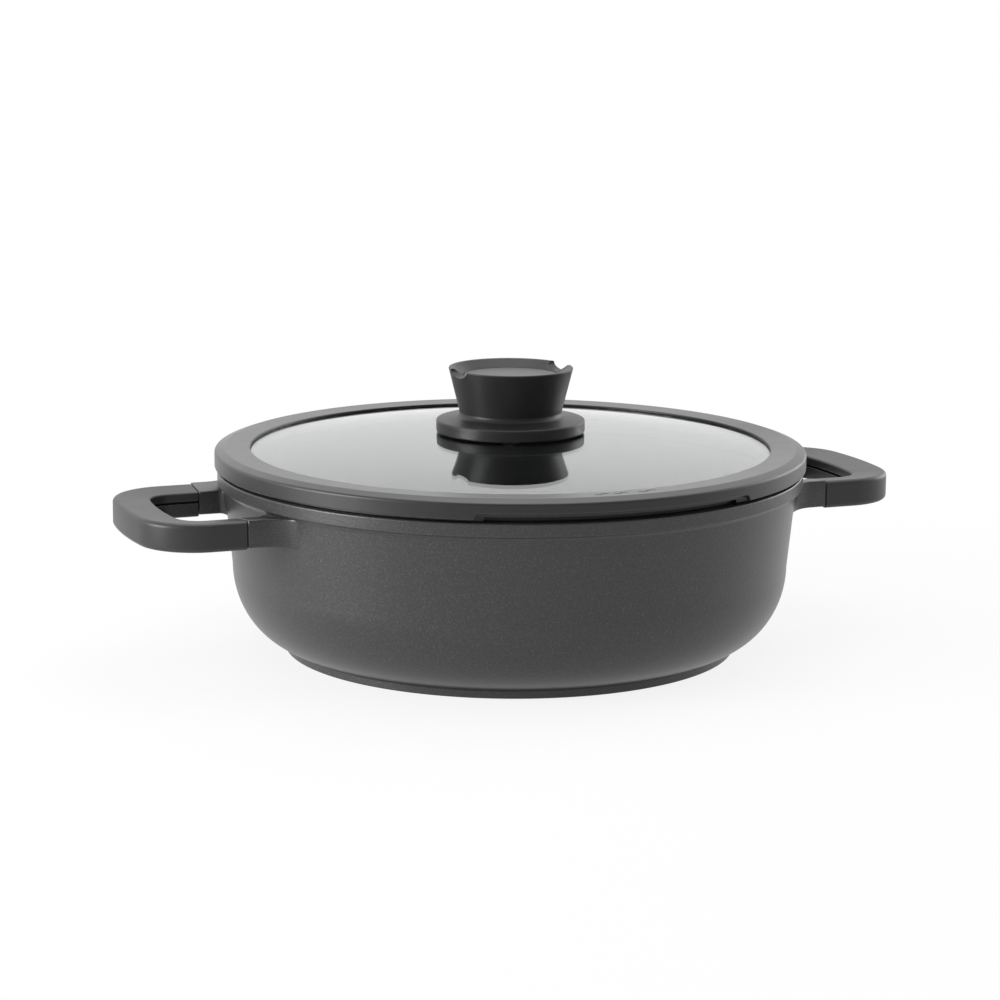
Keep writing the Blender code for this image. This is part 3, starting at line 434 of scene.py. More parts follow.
def seen_directly(tree: Tree) -> Socket:
    """Tell the rays that show a thing from those that light a surface.

    Args:
        tree: The tree that gets the nodes.

    Returns:
        1 on rays from the camera, in reflections and through glass, and 0 on the others.
    """
    path = add_node(tree, "LightPath", {}).outputs
    shown = maths(tree, "MAXIMUM", path["Is Camera Ray"], path["Is Glossy Ray"])
    return maths(tree, "MAXIMUM", shown, path["Is Transmission Ray"])


class Effects:
    """The shader node groups that several finishes use, each built once.

    A texture takes Vector and Scale, and puts out Tone, Gloss and Height.
    """

    def __init__(self) -> None:
        """Start with no group built."""
        self.made: dict[Effect, Tree] = {}

    def group(self, effect: Effect) -> Tree:
        """Give the group of an effect, and build it when it is first asked for.

        Args:
            effect: The effect.

        Returns:
            Its node group.
        """
        if effect in self.made:
            return self.made[effect]
        build, inputs = {
            Effect.CLOUDY_GRAIN: (self._cloudy_grain, ("Vector", "Scale")),
            Effect.SPECKLE: (self._speckle, ("Vector", "Scale")),
            Effect.BRUSHING: (self._brushing, ("Vector", "Scale")),
            Effect.RUBBED_EDGES: (self._rubbed_edges, ("Vector", "Wear", "Amount"))}[effect]
        tree = bpy.data.node_groups.new(effect.value, "ShaderNodeTree")
        for name in inputs:
            kind = "NodeSocketVector" if name == "Vector" else "NodeSocketFloat"
            tree.interface.new_socket(name, in_out="INPUT", socket_type=kind)
        results = build(tree, tree.nodes.new("NodeGroupInput").outputs)
        for name in results:
            tree.interface.new_socket(name, in_out="OUTPUT", socket_type="NodeSocketFloat")
        fill(tree, tree.nodes.new("NodeGroupOutput"), results)
        self.made[effect] = tree
        return tree

    @staticmethod
    def _cloudy_grain(tree: Tree, given: bpy.types.NodeOutputs) -> dict[str, Socket]:
        """Moulded skin: a fine grain as height, and slow clouds of tone and gloss over it.

        Args:
            tree: The group's tree.
            given: The sockets that bring its inputs.

        Returns:
            The sockets of its outputs, by name.
        """
        fine = noise(tree, given["Vector"], given["Scale"], detail=3.0, roughness=0.6)
        slow_scale = maths(tree, "MULTIPLY", given["Scale"], 0.035)
        clouds = noise(tree, given["Vector"], slow_scale, detail=4.0, roughness=0.55)
        tone = maths(tree, "MULTIPLY_ADD", clouds, 0.6, maths(tree, "MULTIPLY", fine, 0.4))
        return {"Tone": tone, "Gloss": clouds, "Height": fine}

    @staticmethod
    def _speckle(tree: Tree, given: bpy.types.NodeOutputs) -> dict[str, Socket]:
        """Sprayed coating: small pale grains where a fine noise is high, and a pebbly height.

        Args:
            tree: The group's tree.
            given: The sockets that bring its inputs.

        Returns:
            The sockets of its outputs, by name.
        """
        fine = noise(tree, given["Vector"], given["Scale"], detail=2.0, roughness=0.7)
        grains = spread(tree, fine, (0.52, 0.72), (0.0, 1.0))
        pebble_scale = maths(tree, "MULTIPLY", given["Scale"], 0.5)
        pebbles = add_node(tree, "TexVoronoi", {"Vector": given["Vector"], "Scale": pebble_scale})
        low = maths(tree, "MULTIPLY", pebbles.outputs["Distance"], 0.5)
        return {"Tone": grains, "Gloss": grains, "Height": maths(tree, "SUBTRACT", fine, low)}

    @staticmethod
    def _brushing(tree: Tree, given: bpy.types.NodeOutputs) -> dict[str, Socket]:
        """Turned or brushed metal: fine rings round the Z axis, broken up along their length.

        Args:
            tree: The group's tree.
            given: The sockets that bring its inputs.

        Returns:
            The sockets of its outputs, by name.
        """
        level = {0: given["Vector"], 1: (1.0, 1.0, 0.0)}
        flat = add_node(tree, "VectorMath", level, operation="MULTIPLY").outputs["Vector"]
        radius = add_node(tree, "VectorMath", {0: flat}, operation="LENGTH")
        slow_scale = maths(tree, "MULTIPLY", given["Scale"], 0.02)
        breaks = noise(tree, given["Vector"], slow_scale, detail=2.0, roughness=0.5)
        ring = maths(tree, "ADD", radius.outputs["Value"], maths(tree, "MULTIPLY", breaks, 0.002))
        rings = add_node(tree, "TexNoise", {"W": ring, "Scale": given["Scale"], "Detail": 3.0},
                         noise_dimensions="1D").outputs["Fac"]
        return {"Tone": rings, "Gloss": rings, "Height": rings}

    @staticmethod
    def _rubbed_edges(tree: Tree, given: bpy.types.NodeOutputs) -> dict[str, Socket]:
        """Wear on edges: the wear painted on the piece, broken up by a noise of a few millimetres.

        Args:
            tree: The group's tree.
            given: The sockets that bring its inputs.

        Returns:
            The socket of its output, by name.
        """
        patches = noise(tree, given["Vector"], 300.0, detail=3.0, roughness=0.5)
        patchy = maths(tree, "MULTIPLY", patches, given["Wear"])
        return {"Mask": maths(tree, "MULTIPLY", patchy, given["Amount"])}


# Finishes


@dataclass(frozen=True)
class Finish:
    """A surface finish: its colours and gloss, and the texture that varies them."""

    name: str
    slot: str
    texture: Effect
    dark: Colour
    light: Colour
    roughness: tuple[float, float]
    scale: float
    bump: float = 0.01
    metallic: float = 0.0
    specular: float = 0.5
    wear: float = 0.0
    worn: Colour = (0.1, 0.1, 0.1)
    transmission: float = 0.0
    ior: float = 1.5
    sheen: float = 0.0
    sheen_roughness: float = 0.4

    def build(self, effects: Effects) -> bpy.types.Material:
        """Make the material once, with its texture and its edge wear.

        Args:
            effects: The shared node groups.

        Returns:
            The material of this finish's name.
        """
        found = bpy.data.materials.get(self.name)
        if found:
            return found
        made = bpy.data.materials.new(self.name)
        made.use_nodes = True
        tree = made.node_tree
        place = add_node(tree, "TexCoord", {}).outputs["Object"]
        texture = add_node(tree, "Group", {"Vector": place, "Scale": self.scale},
                           node_tree=effects.group(self.texture)).outputs
        colour = mixed(tree, texture["Tone"], self.dark, self.light)
        if self.wear > 0:
            painted = add_node(tree, "Attribute", {}, attribute_name="wear").outputs["Fac"]
            rubbed = add_node(tree, "Group", {"Vector": place, "Wear": painted, "Amount": self.wear},
                              node_tree=effects.group(Effect.RUBBED_EDGES))
            colour = mixed(tree, rubbed.outputs["Mask"], colour, self.worn)
        inputs = {"Base Color": colour,
                  "Roughness": spread(tree, texture["Gloss"], (0.0, 1.0), self.roughness),
                  "Metallic": self.metallic,
                  "Specular IOR Level": self.specular,
                  "Transmission Weight": self.transmission,
                  "IOR": self.ior,
                  "Sheen Weight": self.sheen,
                  "Sheen Roughness": self.sheen_roughness}
        if self.bump > 0:
            heights = {"Height": texture["Height"], "Distance": self.bump * MM, "Strength": 1.0}
            inputs["Normal"] = add_node(tree, "Bump", heights).outputs["Normal"]
        fill(tree, tree.nodes["Principled BSDF"], inputs)
        return made


COATED_CAST = Finish(
    "coated_cast_aluminium", "cast_aluminium", Effect.SPECKLE, dark=(0.026, 0.026, 0.027),
    light=(0.066, 0.066, 0.068), roughness=(0.34, 0.44), scale=1400.0, bump=0.05, wear=0.1,
    worn=(0.14, 0.14, 0.14))
STEEL = Finish(
    "brushed_stainless_steel", "stainless_steel", Effect.BRUSHING, dark=(0.42, 0.42, 0.43),
    light=(0.66, 0.66, 0.67), roughness=(0.24, 0.42), scale=3500.0, metallic=1.0)
BRASS = Finish(
    "machined_brass", "brass", Effect.BRUSHING, dark=(0.5, 0.36, 0.15), light=(0.68, 0.52, 0.26),
    roughness=(0.25, 0.4), scale=5000.0, metallic=1.0)
HANDLE_PLASTIC = Finish(
    "satin_handle_plastic", "handle_plastic", Effect.CLOUDY_GRAIN, dark=(0.016, 0.016, 0.017),
    light=(0.028, 0.028, 0.029), roughness=(0.36, 0.46), scale=2600.0, bump=0.012, specular=0.38,
    wear=0.3)
GLASS = Finish(
    "tempered_lid_glass", "tempered_glass", Effect.CLOUDY_GRAIN, dark=(0.78, 0.81, 0.81),
    light=(0.86, 0.88, 0.88), roughness=(0.0, 0.02), scale=900.0, bump=0.0, transmission=1.0, ior=1.52)
SILICONE = Finish(
    "matt_grey_silicone", "grey_silicone", Effect.CLOUDY_GRAIN, dark=(0.006, 0.006, 0.0063),
    light=(0.012, 0.012, 0.0125), roughness=(0.38, 0.47), scale=2200.0, specular=0.48, wear=0.12,
    worn=(0.08, 0.08, 0.08), sheen=0.2)
SEAL_SILICONE = Finish(
    "pale_seal_silicone", "seal_silicone", Effect.CLOUDY_GRAIN, dark=(0.15, 0.15, 0.15),
    light=(0.24, 0.24, 0.24), roughness=(0.5, 0.65), scale=2200.0)
KNOB_PLASTIC = Finish(
    "satin_knob_plastic", "knob_plastic", Effect.CLOUDY_GRAIN, dark=(0.012, 0.012, 0.013),
    light=(0.022, 0.022, 0.023), roughness=(0.36, 0.46), scale=2600.0, bump=0.012, specular=0.26,
    wear=0.3, worn=(0.05, 0.05, 0.05))
KNOB_DISC = Finish(
    "satin_knob_disc", "knob_disc", Effect.CLOUDY_GRAIN, dark=(0.05, 0.05, 0.051),
    light=(0.07, 0.07, 0.071), roughness=(0.4, 0.5), scale=2200.0)
MARK_INK = Finish(
    "pressed_mark", "grey_silicone", Effect.CLOUDY_GRAIN, dark=(0.008, 0.008, 0.008),
    light=(0.014, 0.014, 0.014), roughness=(0.75, 0.85), scale=2200.0, specular=0.1)


class Workshop:
    """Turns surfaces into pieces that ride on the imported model's bodies."""

    def __init__(self) -> None:
        """Start with no pieces."""
        self.effects = Effects()
        self.pieces: list[bpy.types.Object] = []

    @staticmethod
    def shade(mesh: bpy.types.Mesh) -> None:
        """Shade a mesh smoothly but for its sharp edges."""
        mesh.shade_smooth()
        mesh.set_sharp_from_angle(angle=SHARP_ANGLE)

    def mesh_object(self, name: str, surface: Surface) -> bpy.types.Object:
        """Put a surface into a mesh, with doubles merged and faces outwards.

        Args:
            name: The object's name.
            surface: Its shape.

        Returns:
            The new object.
        """
        mesh = bpy.data.meshes.new(name)
        mesh.from_pydata((surface.points * MM).tolist(), [], surface.faces)
        worn = mesh.attributes.new("wear", "FLOAT", "POINT")
        worn.data.foreach_set("value", surface.wear.astype(np.float32))
        body = bmesh.new()
        body.from_mesh(mesh)
        bmesh.ops.remove_doubles(body, verts=body.verts, dist=0.5e-6)
        bmesh.ops.recalc_face_normals(body, faces=body.faces)
        body.to_mesh(mesh)
        body.free()
        self.shade(mesh)
        thing = bpy.data.objects.new(name, mesh)
        bpy.context.scene.collection.objects.link(thing)
        return thing

    def piece(self, name: str, surface: Surface, finish: Finish, body: Body, nodes: tuple[str, ...] = (),
              cutter: Surface | None = None) -> bpy.types.Object:
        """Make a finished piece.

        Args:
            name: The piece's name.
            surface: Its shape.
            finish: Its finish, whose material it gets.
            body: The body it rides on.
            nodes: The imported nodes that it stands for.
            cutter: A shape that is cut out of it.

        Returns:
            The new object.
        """
        thing = self.mesh_object(name, surface)
        if cutter is not None:
            self._cut(thing, cutter)
        thing.data.materials.clear()
        thing.data.materials.append(finish.build(self.effects))
        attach(thing, body.value)
        if nodes:
            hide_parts(*nodes)
        self.pieces.append(thing)
        log.info("%s: %d faces, rides on %s", name, len(thing.data.polygons), body.value)
        return thing

    def _cut(self, thing: bpy.types.Object, cutter: Surface) -> None:
        """Cut a surface out of an object with an exact Boolean, and keep only the result.

        Args:
            thing: The object.
            cutter: The surface that is cut out.
        """
        tool = self.mesh_object(thing.name + "_cutter", cutter)
        step = thing.modifiers.new("cut", "BOOLEAN")
        step.operation = "DIFFERENCE"
        step.solver = "EXACT"
        step.object = tool
        bpy.context.view_layer.update()
        graph = bpy.context.evaluated_depsgraph_get()
        mesh = bpy.data.meshes.new_from_object(thing.evaluated_get(graph), depsgraph=graph)
        thing.modifiers.clear()
        thing.data = mesh
        self.shade(mesh)
        bpy.data.objects.remove(tool)

    def dress_node(self, node: str, finish: Finish) -> None:
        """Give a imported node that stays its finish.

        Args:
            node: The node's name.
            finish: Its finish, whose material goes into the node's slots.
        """
        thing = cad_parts[node]
        made = finish.build(self.effects)
        if thing.data.materials:
            for index in range(len(thing.data.materials)):
                thing.data.materials[index] = made
        else:
            thing.data.materials.append(made)
        log.info("%s: packed node kept, finish %s", node, finish.name)


# The pan


@dataclass(frozen=True)
class CastPan:
    """The cast pan with its band, lugs, tenons and foot ring, and the steel plate in its base."""

    opening: float = OPENING_RADIUS
    height: float = PAN_HEIGHT
    band_radius: float = 146.5
    band_bottom: float = 84.4
    band_edge: float = 0.8
    band_low_edge: float = 0.4
    band_fillet: float = 3.1
    support: float = 0.3
    wall: float = 3.3
    taper: float = 4.0
    corner_width: float = 33.4
    corner_height: float = 40.1
    corner_bottom: float = 3.3
    foot_radius: float = 113.3
    foot_height: float = 3.6
    foot_edge: float = 0.5
    crease: float = 1.0
    floor: float = 6.0
    pocket_depth: float = 1.6
    pocket_edge: float = 0.3
    plate_radius: float = 96.0
    plate_thickness: float = 1.0
    plate_edge: float = 0.2
    plate_hole: float = 3.5
    plate_rings: int = 3
    holes_in_first_ring: int = 6
    cutter_bottom: float = -1.0
    cutter_top: float = 3.0
    half_width: float = HANDLE_HALF_WIDTH
    arm_inner: float = ARM_INNER
    lug_reach: float = 151.8
    lug_top: float = 82.8
    top_fall: float = TOP_FALL
    lug_bottom: float = 69.2
    lug_drop: float = 1.5
    lug_edge: float = 1.0
    lug_end_round: float = 0.3
    lug_embed: float = 0.04
    outer_fillet: float = 16.0
    inner_fillet: float = 3.0
    edge_points: int = 5
    fillet_steps: int = 14
    straight_steps: int = 3
    screw_out: float = 7.0
    screw_y: float = SCREW_Y
    screw_hole: float = SCREW_HOLE
    tenon_length: float = 14.0
    tenon_embed: float = 2.0
    tenon_half_width: float = 4.45
    tenon_bottom: float = 71.6
    tenon_top: float = 74.8

    @property
    def corner_top(self) -> float:
        """Height at which the wall's corner begins."""
        return self.corner_bottom + self.corner_height

    @property
    def slope(self) -> float:
        """How much the radius grows for each unit of height on the straight wall."""
        return self.taper / (self.band_bottom - self.corner_top)

    @property
    def wall_radius(self) -> float:
        """Outside radius of the wall just under the band."""
        return self.opening + self.wall

    def outline(self) -> np.ndarray:
        """The pan's half section: inside from the floor's centre up, over the band, and down outside.

        Its edges, the band's hollow fillet and the corners are arcs and quarter ellipses.

        Returns:
            The section's (radius, height) points, from the axis to the axis.
        """
        inner_foot = self.opening - self.taper
        corner_end = inner_foot - self.corner_width + self.wall / 2
        inner_radii = (inner_foot - corner_end, self.corner_top - self.floor)
        inside = arc((corner_end, self.corner_top), inner_radii, -90, 0, 24)
        edge, low = self.band_edge, self.band_low_edge
        mouth = arc((self.opening + edge, self.height - edge), (edge, edge), 180, 90, 6)
        top_edge = arc((self.band_radius - edge, self.height - edge), (edge, edge), 90, 0, 6)
        low_edge = arc((self.band_radius - low, self.band_bottom + low), (low, low), 0, -90, 6)
        fillet_foot = self.wall_radius - self.slope * self.band_fillet
        hollow = self.band_radius - low - fillet_foot
        fillet_centre = (fillet_foot + hollow, self.band_bottom - self.band_fillet)
        fillet = arc(fillet_centre, (hollow, self.band_fillet), 90, 180, 14)
        foot_end = self.wall_radius - self.taper - self.corner_width
        sweep = math.degrees(math.acos((self.foot_radius + self.crease - foot_end) / self.corner_width))
        corner = arc((foot_end, self.corner_top), (self.corner_width, self.corner_height), 0, -sweep, 32)
        pocket = self.plate_radius + GAP
        foot = rounded([
            (self.foot_radius, self.foot_height, 0.0), (self.foot_radius, 0.0, self.foot_edge),
            (pocket, 0.0, self.pocket_edge), (pocket, self.pocket_depth, 0.0)])
        below_edge = self.height - edge - self.support
        return np.vstack((
            [(0.0, self.floor), (corner_end / 2, self.floor)], inside,
            [(self.opening, below_edge)], mouth,
            [(self.opening + edge + self.support, self.height),
             (self.band_radius - edge - self.support, self.height)], top_edge,
            [(self.band_radius, below_edge), (self.band_radius, self.band_bottom + low + self.support)],
            low_edge, fillet[1:], corner, foot, [(0.0, self.pocket_depth)]))

    def lug(self) -> Surface:
        """One lug, at +X and +Y.

        Its section is a bar with rounded edges whose top falls towards the finger gap. Each side's
        plan is an arc that touches the wall and then the handle's side, and runs straight from there
        to the joint. The rings follow both sides with the same share of their length, and the last
        one is drawn in to round the end.

        Returns:
            The lug, whose first ring is inside the wall.
        """
        edge_angles = np.radians(np.linspace(0.0, 90.0, self.edge_points))
        rise = np.concatenate((edge_angles, edge_angles[::-1], edge_angles, edge_angles[::-1]))
        side = np.repeat((0, 0, 1, 1), self.edge_points)
        upward = np.repeat((-1.0, 1.0, 1.0, -1.0), self.edge_points)
        steps = self.fillet_steps + self.straight_steps + 1
        share = np.append(np.linspace(0.0, 1.0, steps + 1), 1.0)
        shrink = np.append(np.zeros(steps + 1), self.lug_end_round)
        top = np.array((self.lug_top, self.lug_top - self.top_fall))[side]
        rings = []
        for index, (step, less) in enumerate(zip(share, shrink)):
            bottom = self.lug_bottom - self.lug_drop * (1 - step) ** 2
            start = np.where(upward > 0, top - less, bottom + less)
            inset = self.lug_edge * (1 - np.sin(rise)) + less
            height = start - upward * self.lug_edge * (1 - np.cos(rise))
            ends = self._plan(height, min(index, steps), less)
            across = ends[1] - ends[0]
            across /= np.linalg.norm(across, axis=1)[:, None]
            near = np.where(side[:, None] == 0, ends[0], ends[1])
            plan = near + np.where(side == 0, 1.0, -1.0)[:, None] * across * inset[:, None]
            rings.append(np.column_stack((plan, height)))
        return skin(np.array(rings), closed_path=False)

    def _plan(self, height: np.ndarray, index: int, shrink: float) -> tuple[np.ndarray, np.ndarray]:
        """A lug's outer and inner plan points at some heights and one ring along it.

        The fillet's circle touches the wall's circle and the handle's side. Its angle goes evenly
        from the point on the wall to the point on the side.

        Args:
            height: The heights.
            index: The ring's number.
            shrink: How far the ring is drawn in; only the last one is.

        Returns:
            The points of the outer side and those of the inner side.
        """
        wall = self.wall_radius - self.slope * (self.band_bottom - height) - self.lug_embed
        turn = np.clip((index - 1) / self.fillet_steps, 0.0, 1.0)
        beyond = (index - 1 - self.fillet_steps) / self.straight_steps
        sides = []
        for face, outward, fillet in ((self.half_width, 1, self.outer_fillet),
                                      (self.arm_inner, -1, self.inner_fillet)):
            centre_y = face + outward * fillet
            centre_x = np.sqrt((wall + fillet) ** 2 - centre_y ** 2)
            start = np.arctan2(centre_y, centre_x) + math.pi
            end = math.pi + outward * math.pi / 2
            angle = start + (end - start) * turn
            x = centre_x + fillet * np.cos(angle)
            y = centre_y + fillet * np.sin(angle)
            if index == 0:
                inwards = (wall - self.wall / 2) / wall
                x, y = x * inwards, y * inwards
            if beyond > 0:
                end_x = self.lug_reach - (0.0 if shrink else self.lug_end_round)
                x = centre_x + (end_x - centre_x) * beyond
            sides.append(np.column_stack((x, y)))
        return sides[0], sides[1]

    def tenon(self) -> Surface:
        """The flat bar that reaches from a lug into the handle, with the screw's hole.

        Returns:
            The bar in its place at the lug of +X and +Y.
        """
        reaches = (self.tenon_length - self.screw_out, self.screw_out + self.tenon_embed,
                   self.tenon_half_width, self.tenon_half_width)
        bar = holed_plate(reaches, self.tenon_bottom, self.tenon_top, self.screw_hole)
        return bar.moved(self.lug_reach + self.screw_out, self.screw_y)

    def plate(self) -> tuple[Surface, Surface]:
        """The perforated plate in the base, and the cutter of its holes.

        One hole is in the middle, and each ring has as many holes more than the last as the first has.

        Returns:
            The plate without holes, and the holes' cylinders.
        """
        bottom, top = GAP, GAP + self.plate_thickness
        disc = rounded([(0.0, bottom, 0.0), (self.plate_radius, bottom, self.plate_edge),
                        (self.plate_radius, top, self.plate_edge), (0.0, top, 0.0)], steps=3)
        pitch = self.plate_radius / (self.plate_rings + 1)
        hole = cylinder(self.plate_hole, self.cutter_bottom, self.cutter_top, HOLE_STEPS)
        holes = []
        for ring in range(1, self.plate_rings + 1):
            count = self.holes_in_first_ring * ring
            for angle in FULL_TURN * np.arange(count) / count:
                holes.append(hole.moved(pitch * ring * math.cos(angle), pitch * ring * math.sin(angle)))
        return revolve(disc, solid=True), hole.joined(*holes)

    def make(self, shop: Workshop) -> None:
        """Make the casting and the steel plate.

        Args:
            shop: The workshop that makes the pieces.
        """
        lug = self.lug().joined(self.tenon())
        pair = lug.joined(lug.mirrored(1))
        body = revolve(self.outline(), solid=True).joined(pair, pair.mirrored(0))
        shop.piece("pan_casting", body, COATED_CAST, Body.PAN, ("pan_body",))
        disc, holes = self.plate()
        shop.piece("base_plate", disc, STEEL, Body.PAN, ("induction_plate",), cutter=holes)


@dataclass(frozen=True)
class PanHeadScrew:
    """A screw with a low round head and a cross recess, on the Z axis with its head below."""

    shank: float
    head: float
    head_height: float
    length: float
    drive_reach: float
    drive_width: float
    drive_depth: float
    face_share: float = 0.72
    crown_share: float = 0.55
    head_edge: float = 0.15
    tip: float = 0.6
    drive_slope: float = 0.18
    drive_end: float = 0.5

    def surface(self) -> Surface:
        """The screw, its head's seat at height 0.

        The recess in the face is as deep as its arms are wide enough: its depth is the full depth
        times a ramp across the arm and a ramp along it, and the arms lie on the X and Y axes.

        Returns:
            The screw.
        """
        flat = self.head * self.face_share
        face = np.linspace(0.0, flat, 22)
        crown = self.head_height * self.crown_share
        edge = arc((flat, crown - self.head_height), (self.head - flat, crown), -90, 0, 6)[1:]
        side = [(self.head, -self.head_edge), (self.head - self.head_edge, 0.0), (self.shank, 0.0),
                (self.shank, self.length - self.tip), (self.shank - self.tip, self.length),
                (0.0, self.length)]
        outline = np.vstack((np.column_stack((face, np.full_like(face, -self.head_height))), edge, side))
        angle = np.linspace(0.0, FULL_TURN, SCREW_STEPS, endpoint=False)[:, None]
        x, y = np.abs(outline[:, 0] * np.cos(angle)), np.abs(outline[:, 0] * np.sin(angle))
        ramp = np.clip((self.drive_width / 2 - np.minimum(x, y)) / self.drive_slope, 0.0, 1.0)
        ramp = ramp * np.clip((self.drive_reach / 2 - np.maximum(x, y)) / self.drive_end, 0.0, 1.0)
        on_face = np.arange(len(outline)) < len(face)
        height = outline[:, 1] + np.where(on_face[None, :], ramp * self.drive_depth, 0.0)
        return skin(round_z(outline[:, 0], angle, height), closed_path=True, closed_ring=False)


@dataclass(frozen=True)
class LoopHandle:
    """A loop handle: an upper shell like an upturned channel, closed by a lower shell."""

    reach: float = 199.4
    start: float = 152.1
    half_width: float = HANDLE_HALF_WIDTH
    corner: float = 29.5
    arm_inner: float = ARM_INNER
    bar_inner: float = 180.9
    loop_corner: float = 12.0
    top: float = 82.5
    bottom: float = 68.3
    top_fall: float = TOP_FALL
    outer_edge: float = 2.2
    low_edge: float = 2.1
    inner_edge: float = 1.2
    shell: float = 2.4
    shell_lip: float = 0.1
    groove_top: float = 76.4
    groove_bottom: float = 75.2
    groove_edge: float = 0.35
    thin_edge: float = 0.2
    tongue_wall: float = 1.2
    tongue_rise: float = 1.2
    plate: float = 3.0
    plate_edge: float = 0.25
    end_round: float = 0.3
    screw_x: float = 158.8
    screw_y: float = SCREW_Y
    screw_hole: float = SCREW_HOLE
    screw_seat: float = 69.8
    screw_turn: float = 0.6    # of a screw's recess, in radians for each millimetre of its x
    recess_radius: float = 3.8
    recess_depth: float = 1.8
    cutter_bottom: float = 60.0
    cutter_top: float = 73.0
    boss_radius: float = 4.6
    boss_bottom: float = 75.1
    boss_embed: float = 0.6
    boss_core: float = 0.05
    insert_hole: float = 3.4
    insert_top: float = 78.5
    screw: PanHeadScrew = PanHeadScrew(shank=1.9, head=3.5, head_height=1.4, length=8.4, drive_reach=3.6,
                                       drive_width=0.9, drive_depth=0.8)

    def _side(self, reach: float, side: float, corner: float) -> np.ndarray:
        """One side of half a loop: the straight arm, the corner's arc, and half of the bar's arc.

        The bar's arc is round the Z axis. The corner's circle touches the arm's side, and touches the
        bar's circle from inside, where both have the same direction from the Z axis.

        Args:
            reach: Radius of the bar's arc.
            side: Distance of the arm's side from the XZ plane.
            corner: Radius of the corner.

        Returns:
            The side's plan points, from the arm's end to just short of the bar's middle.
        """
        centre = (math.sqrt((reach - corner) ** 2 - (side - corner) ** 2), side - corner)
        bar_start = math.degrees(math.atan2(centre[1], centre[0]))
        arm = self.start + np.array((0.0, self.end_round, 2.0, 6.0, 10.0))
        bar = np.radians(bar_start * np.array((0.875, 0.625, 0.375, 0.125)))
        return np.vstack((np.column_stack((arm, np.full_like(arm, side))),
                          arc(centre, (corner, corner), 90, bar_start, 24),
                          reach * np.column_stack((np.cos(bar), np.sin(bar)))))

    def stations(self) -> tuple[np.ndarray, np.ndarray]:
        """Plan points round the whole loop, from one arm's end to the other's.

        Returns:
            The points of the outer side and those of the inner side.
        """
        mirror = np.array((1.0, -1.0))
        outer = self._side(self.reach, self.half_width, self.corner)
        inner = self._side(self.bar_inner, self.arm_inner, self.loop_corner)
        return np.vstack((outer, outer[::-1] * mirror)), np.vstack((inner, inner[::-1] * mirror))

    def upper_section(self, width: float) -> np.ndarray:
        """The upper shell's section: a channel open below, its inner wall cut short at the groove.

        Args:
            width: How wide the loop is at this station.

        Returns:
            (inset, height) points, the inset counted from the loop's outer side.
        """
        inner_top = self.top - self.top_fall
        drop = self.top_fall * self.shell / width
        edge = self.low_edge
        foot = arc((edge, self.bottom + edge), (edge, edge), 180, 270, 7)
        inner_wall = width - self.shell
        return rounded([
            (0.0, self.top, self.outer_edge), *((inset, height, 0.0) for inset, height in foot),
            (self.shell, self.bottom + self.shell_lip, 0.0),
            (self.shell, self.top - self.shell - drop, 0.0),
            (inner_wall, inner_top - self.shell + drop, 0.0),
            (inner_wall, self.groove_top, self.thin_edge),
            (width, self.groove_top, self.groove_edge), (width, inner_top, self.inner_edge)], steps=6)

    def lower_section(self, width: float) -> np.ndarray:
        """The lower shell's section: a floor, the lower inner wall, and a tongue behind the groove.

        Args:
            width: How wide the loop is at this station.

        Returns:
            (inset, height) points, the inset counted from the loop's outer side.
        """
        near = self.shell + GAP
        behind = width - self.shell - GAP
        tongue_back = behind - self.tongue_wall
        tongue = self.groove_top + self.tongue_rise
        floor = self.bottom + self.plate
        return rounded([
            (near, floor, 0.0), (near, self.bottom, self.plate_edge),
            (width, self.bottom, self.inner_edge), (width, self.groove_bottom, self.groove_edge),
            (behind, self.groove_bottom, 0.0),
            (behind, tongue, self.thin_edge), (tongue_back, tongue, self.thin_edge),
            (tongue_back, floor, 0.0)], steps=6)

    def shell_surface(self, upper: bool) -> Surface:
        """Carry a section round the loop.

        Each point is its station's outer point plus its inset times the direction across. The two end
        sections are drawn in by the end rounding along their outlines' normals.

        Args:
            upper: Whether the upper shell is meant.

        Returns:
            The shell of the right handle.
        """
        section = self.upper_section if upper else self.lower_section
        outer, inner = self.stations()
        across = inner - outer
        widths = np.linalg.norm(across, axis=1)
        across /= widths[:, None]
        sections = np.array([section(width) for width in widths])
        for end in (0, -1):
            sections[end] -= self.end_round * outline_normals(sections[end])
        plan = outer[:, None, :] + across[:, None, :] * sections[..., :1]
        rings = np.concatenate((plan, sections[..., 1:]), axis=-1)
        return skin(rings, closed_path=False, wear=edge_wear(sections[0]))

    def boss(self) -> Surface:
        """The sleeve under the upper shell's top that holds an insert.

        Returns:
            The sleeve, on the Z axis.
        """
        high, ceiling = self.insert_top + GAP, self.top - self.shell + self.boss_embed
        return revolve(rounded([
            (self.insert_hole, self.boss_bottom, self.thin_edge),
            (self.boss_radius, self.boss_bottom, self.thin_edge), (self.boss_radius, ceiling, 0.0),
            (self.boss_core, ceiling, 0.0), (self.boss_core, high, 0.0),
            (self.insert_hole, high, 0.0)], steps=3), SMALL_STEPS)

    def hole(self) -> Surface:
        """The cutter of a screw's hole and of the recess for its head.

        Returns:
            The cutter, on the Z axis.
        """
        seat = self.bottom + self.recess_depth
        outline = np.array([
            (0.0, self.cutter_bottom), (self.recess_radius, self.cutter_bottom),
            (self.recess_radius, seat), (self.screw_hole, seat), (self.screw_hole, self.cutter_top),
            (0.0, self.cutter_top)])
        return revolve(outline, SMALL_STEPS, solid=True)

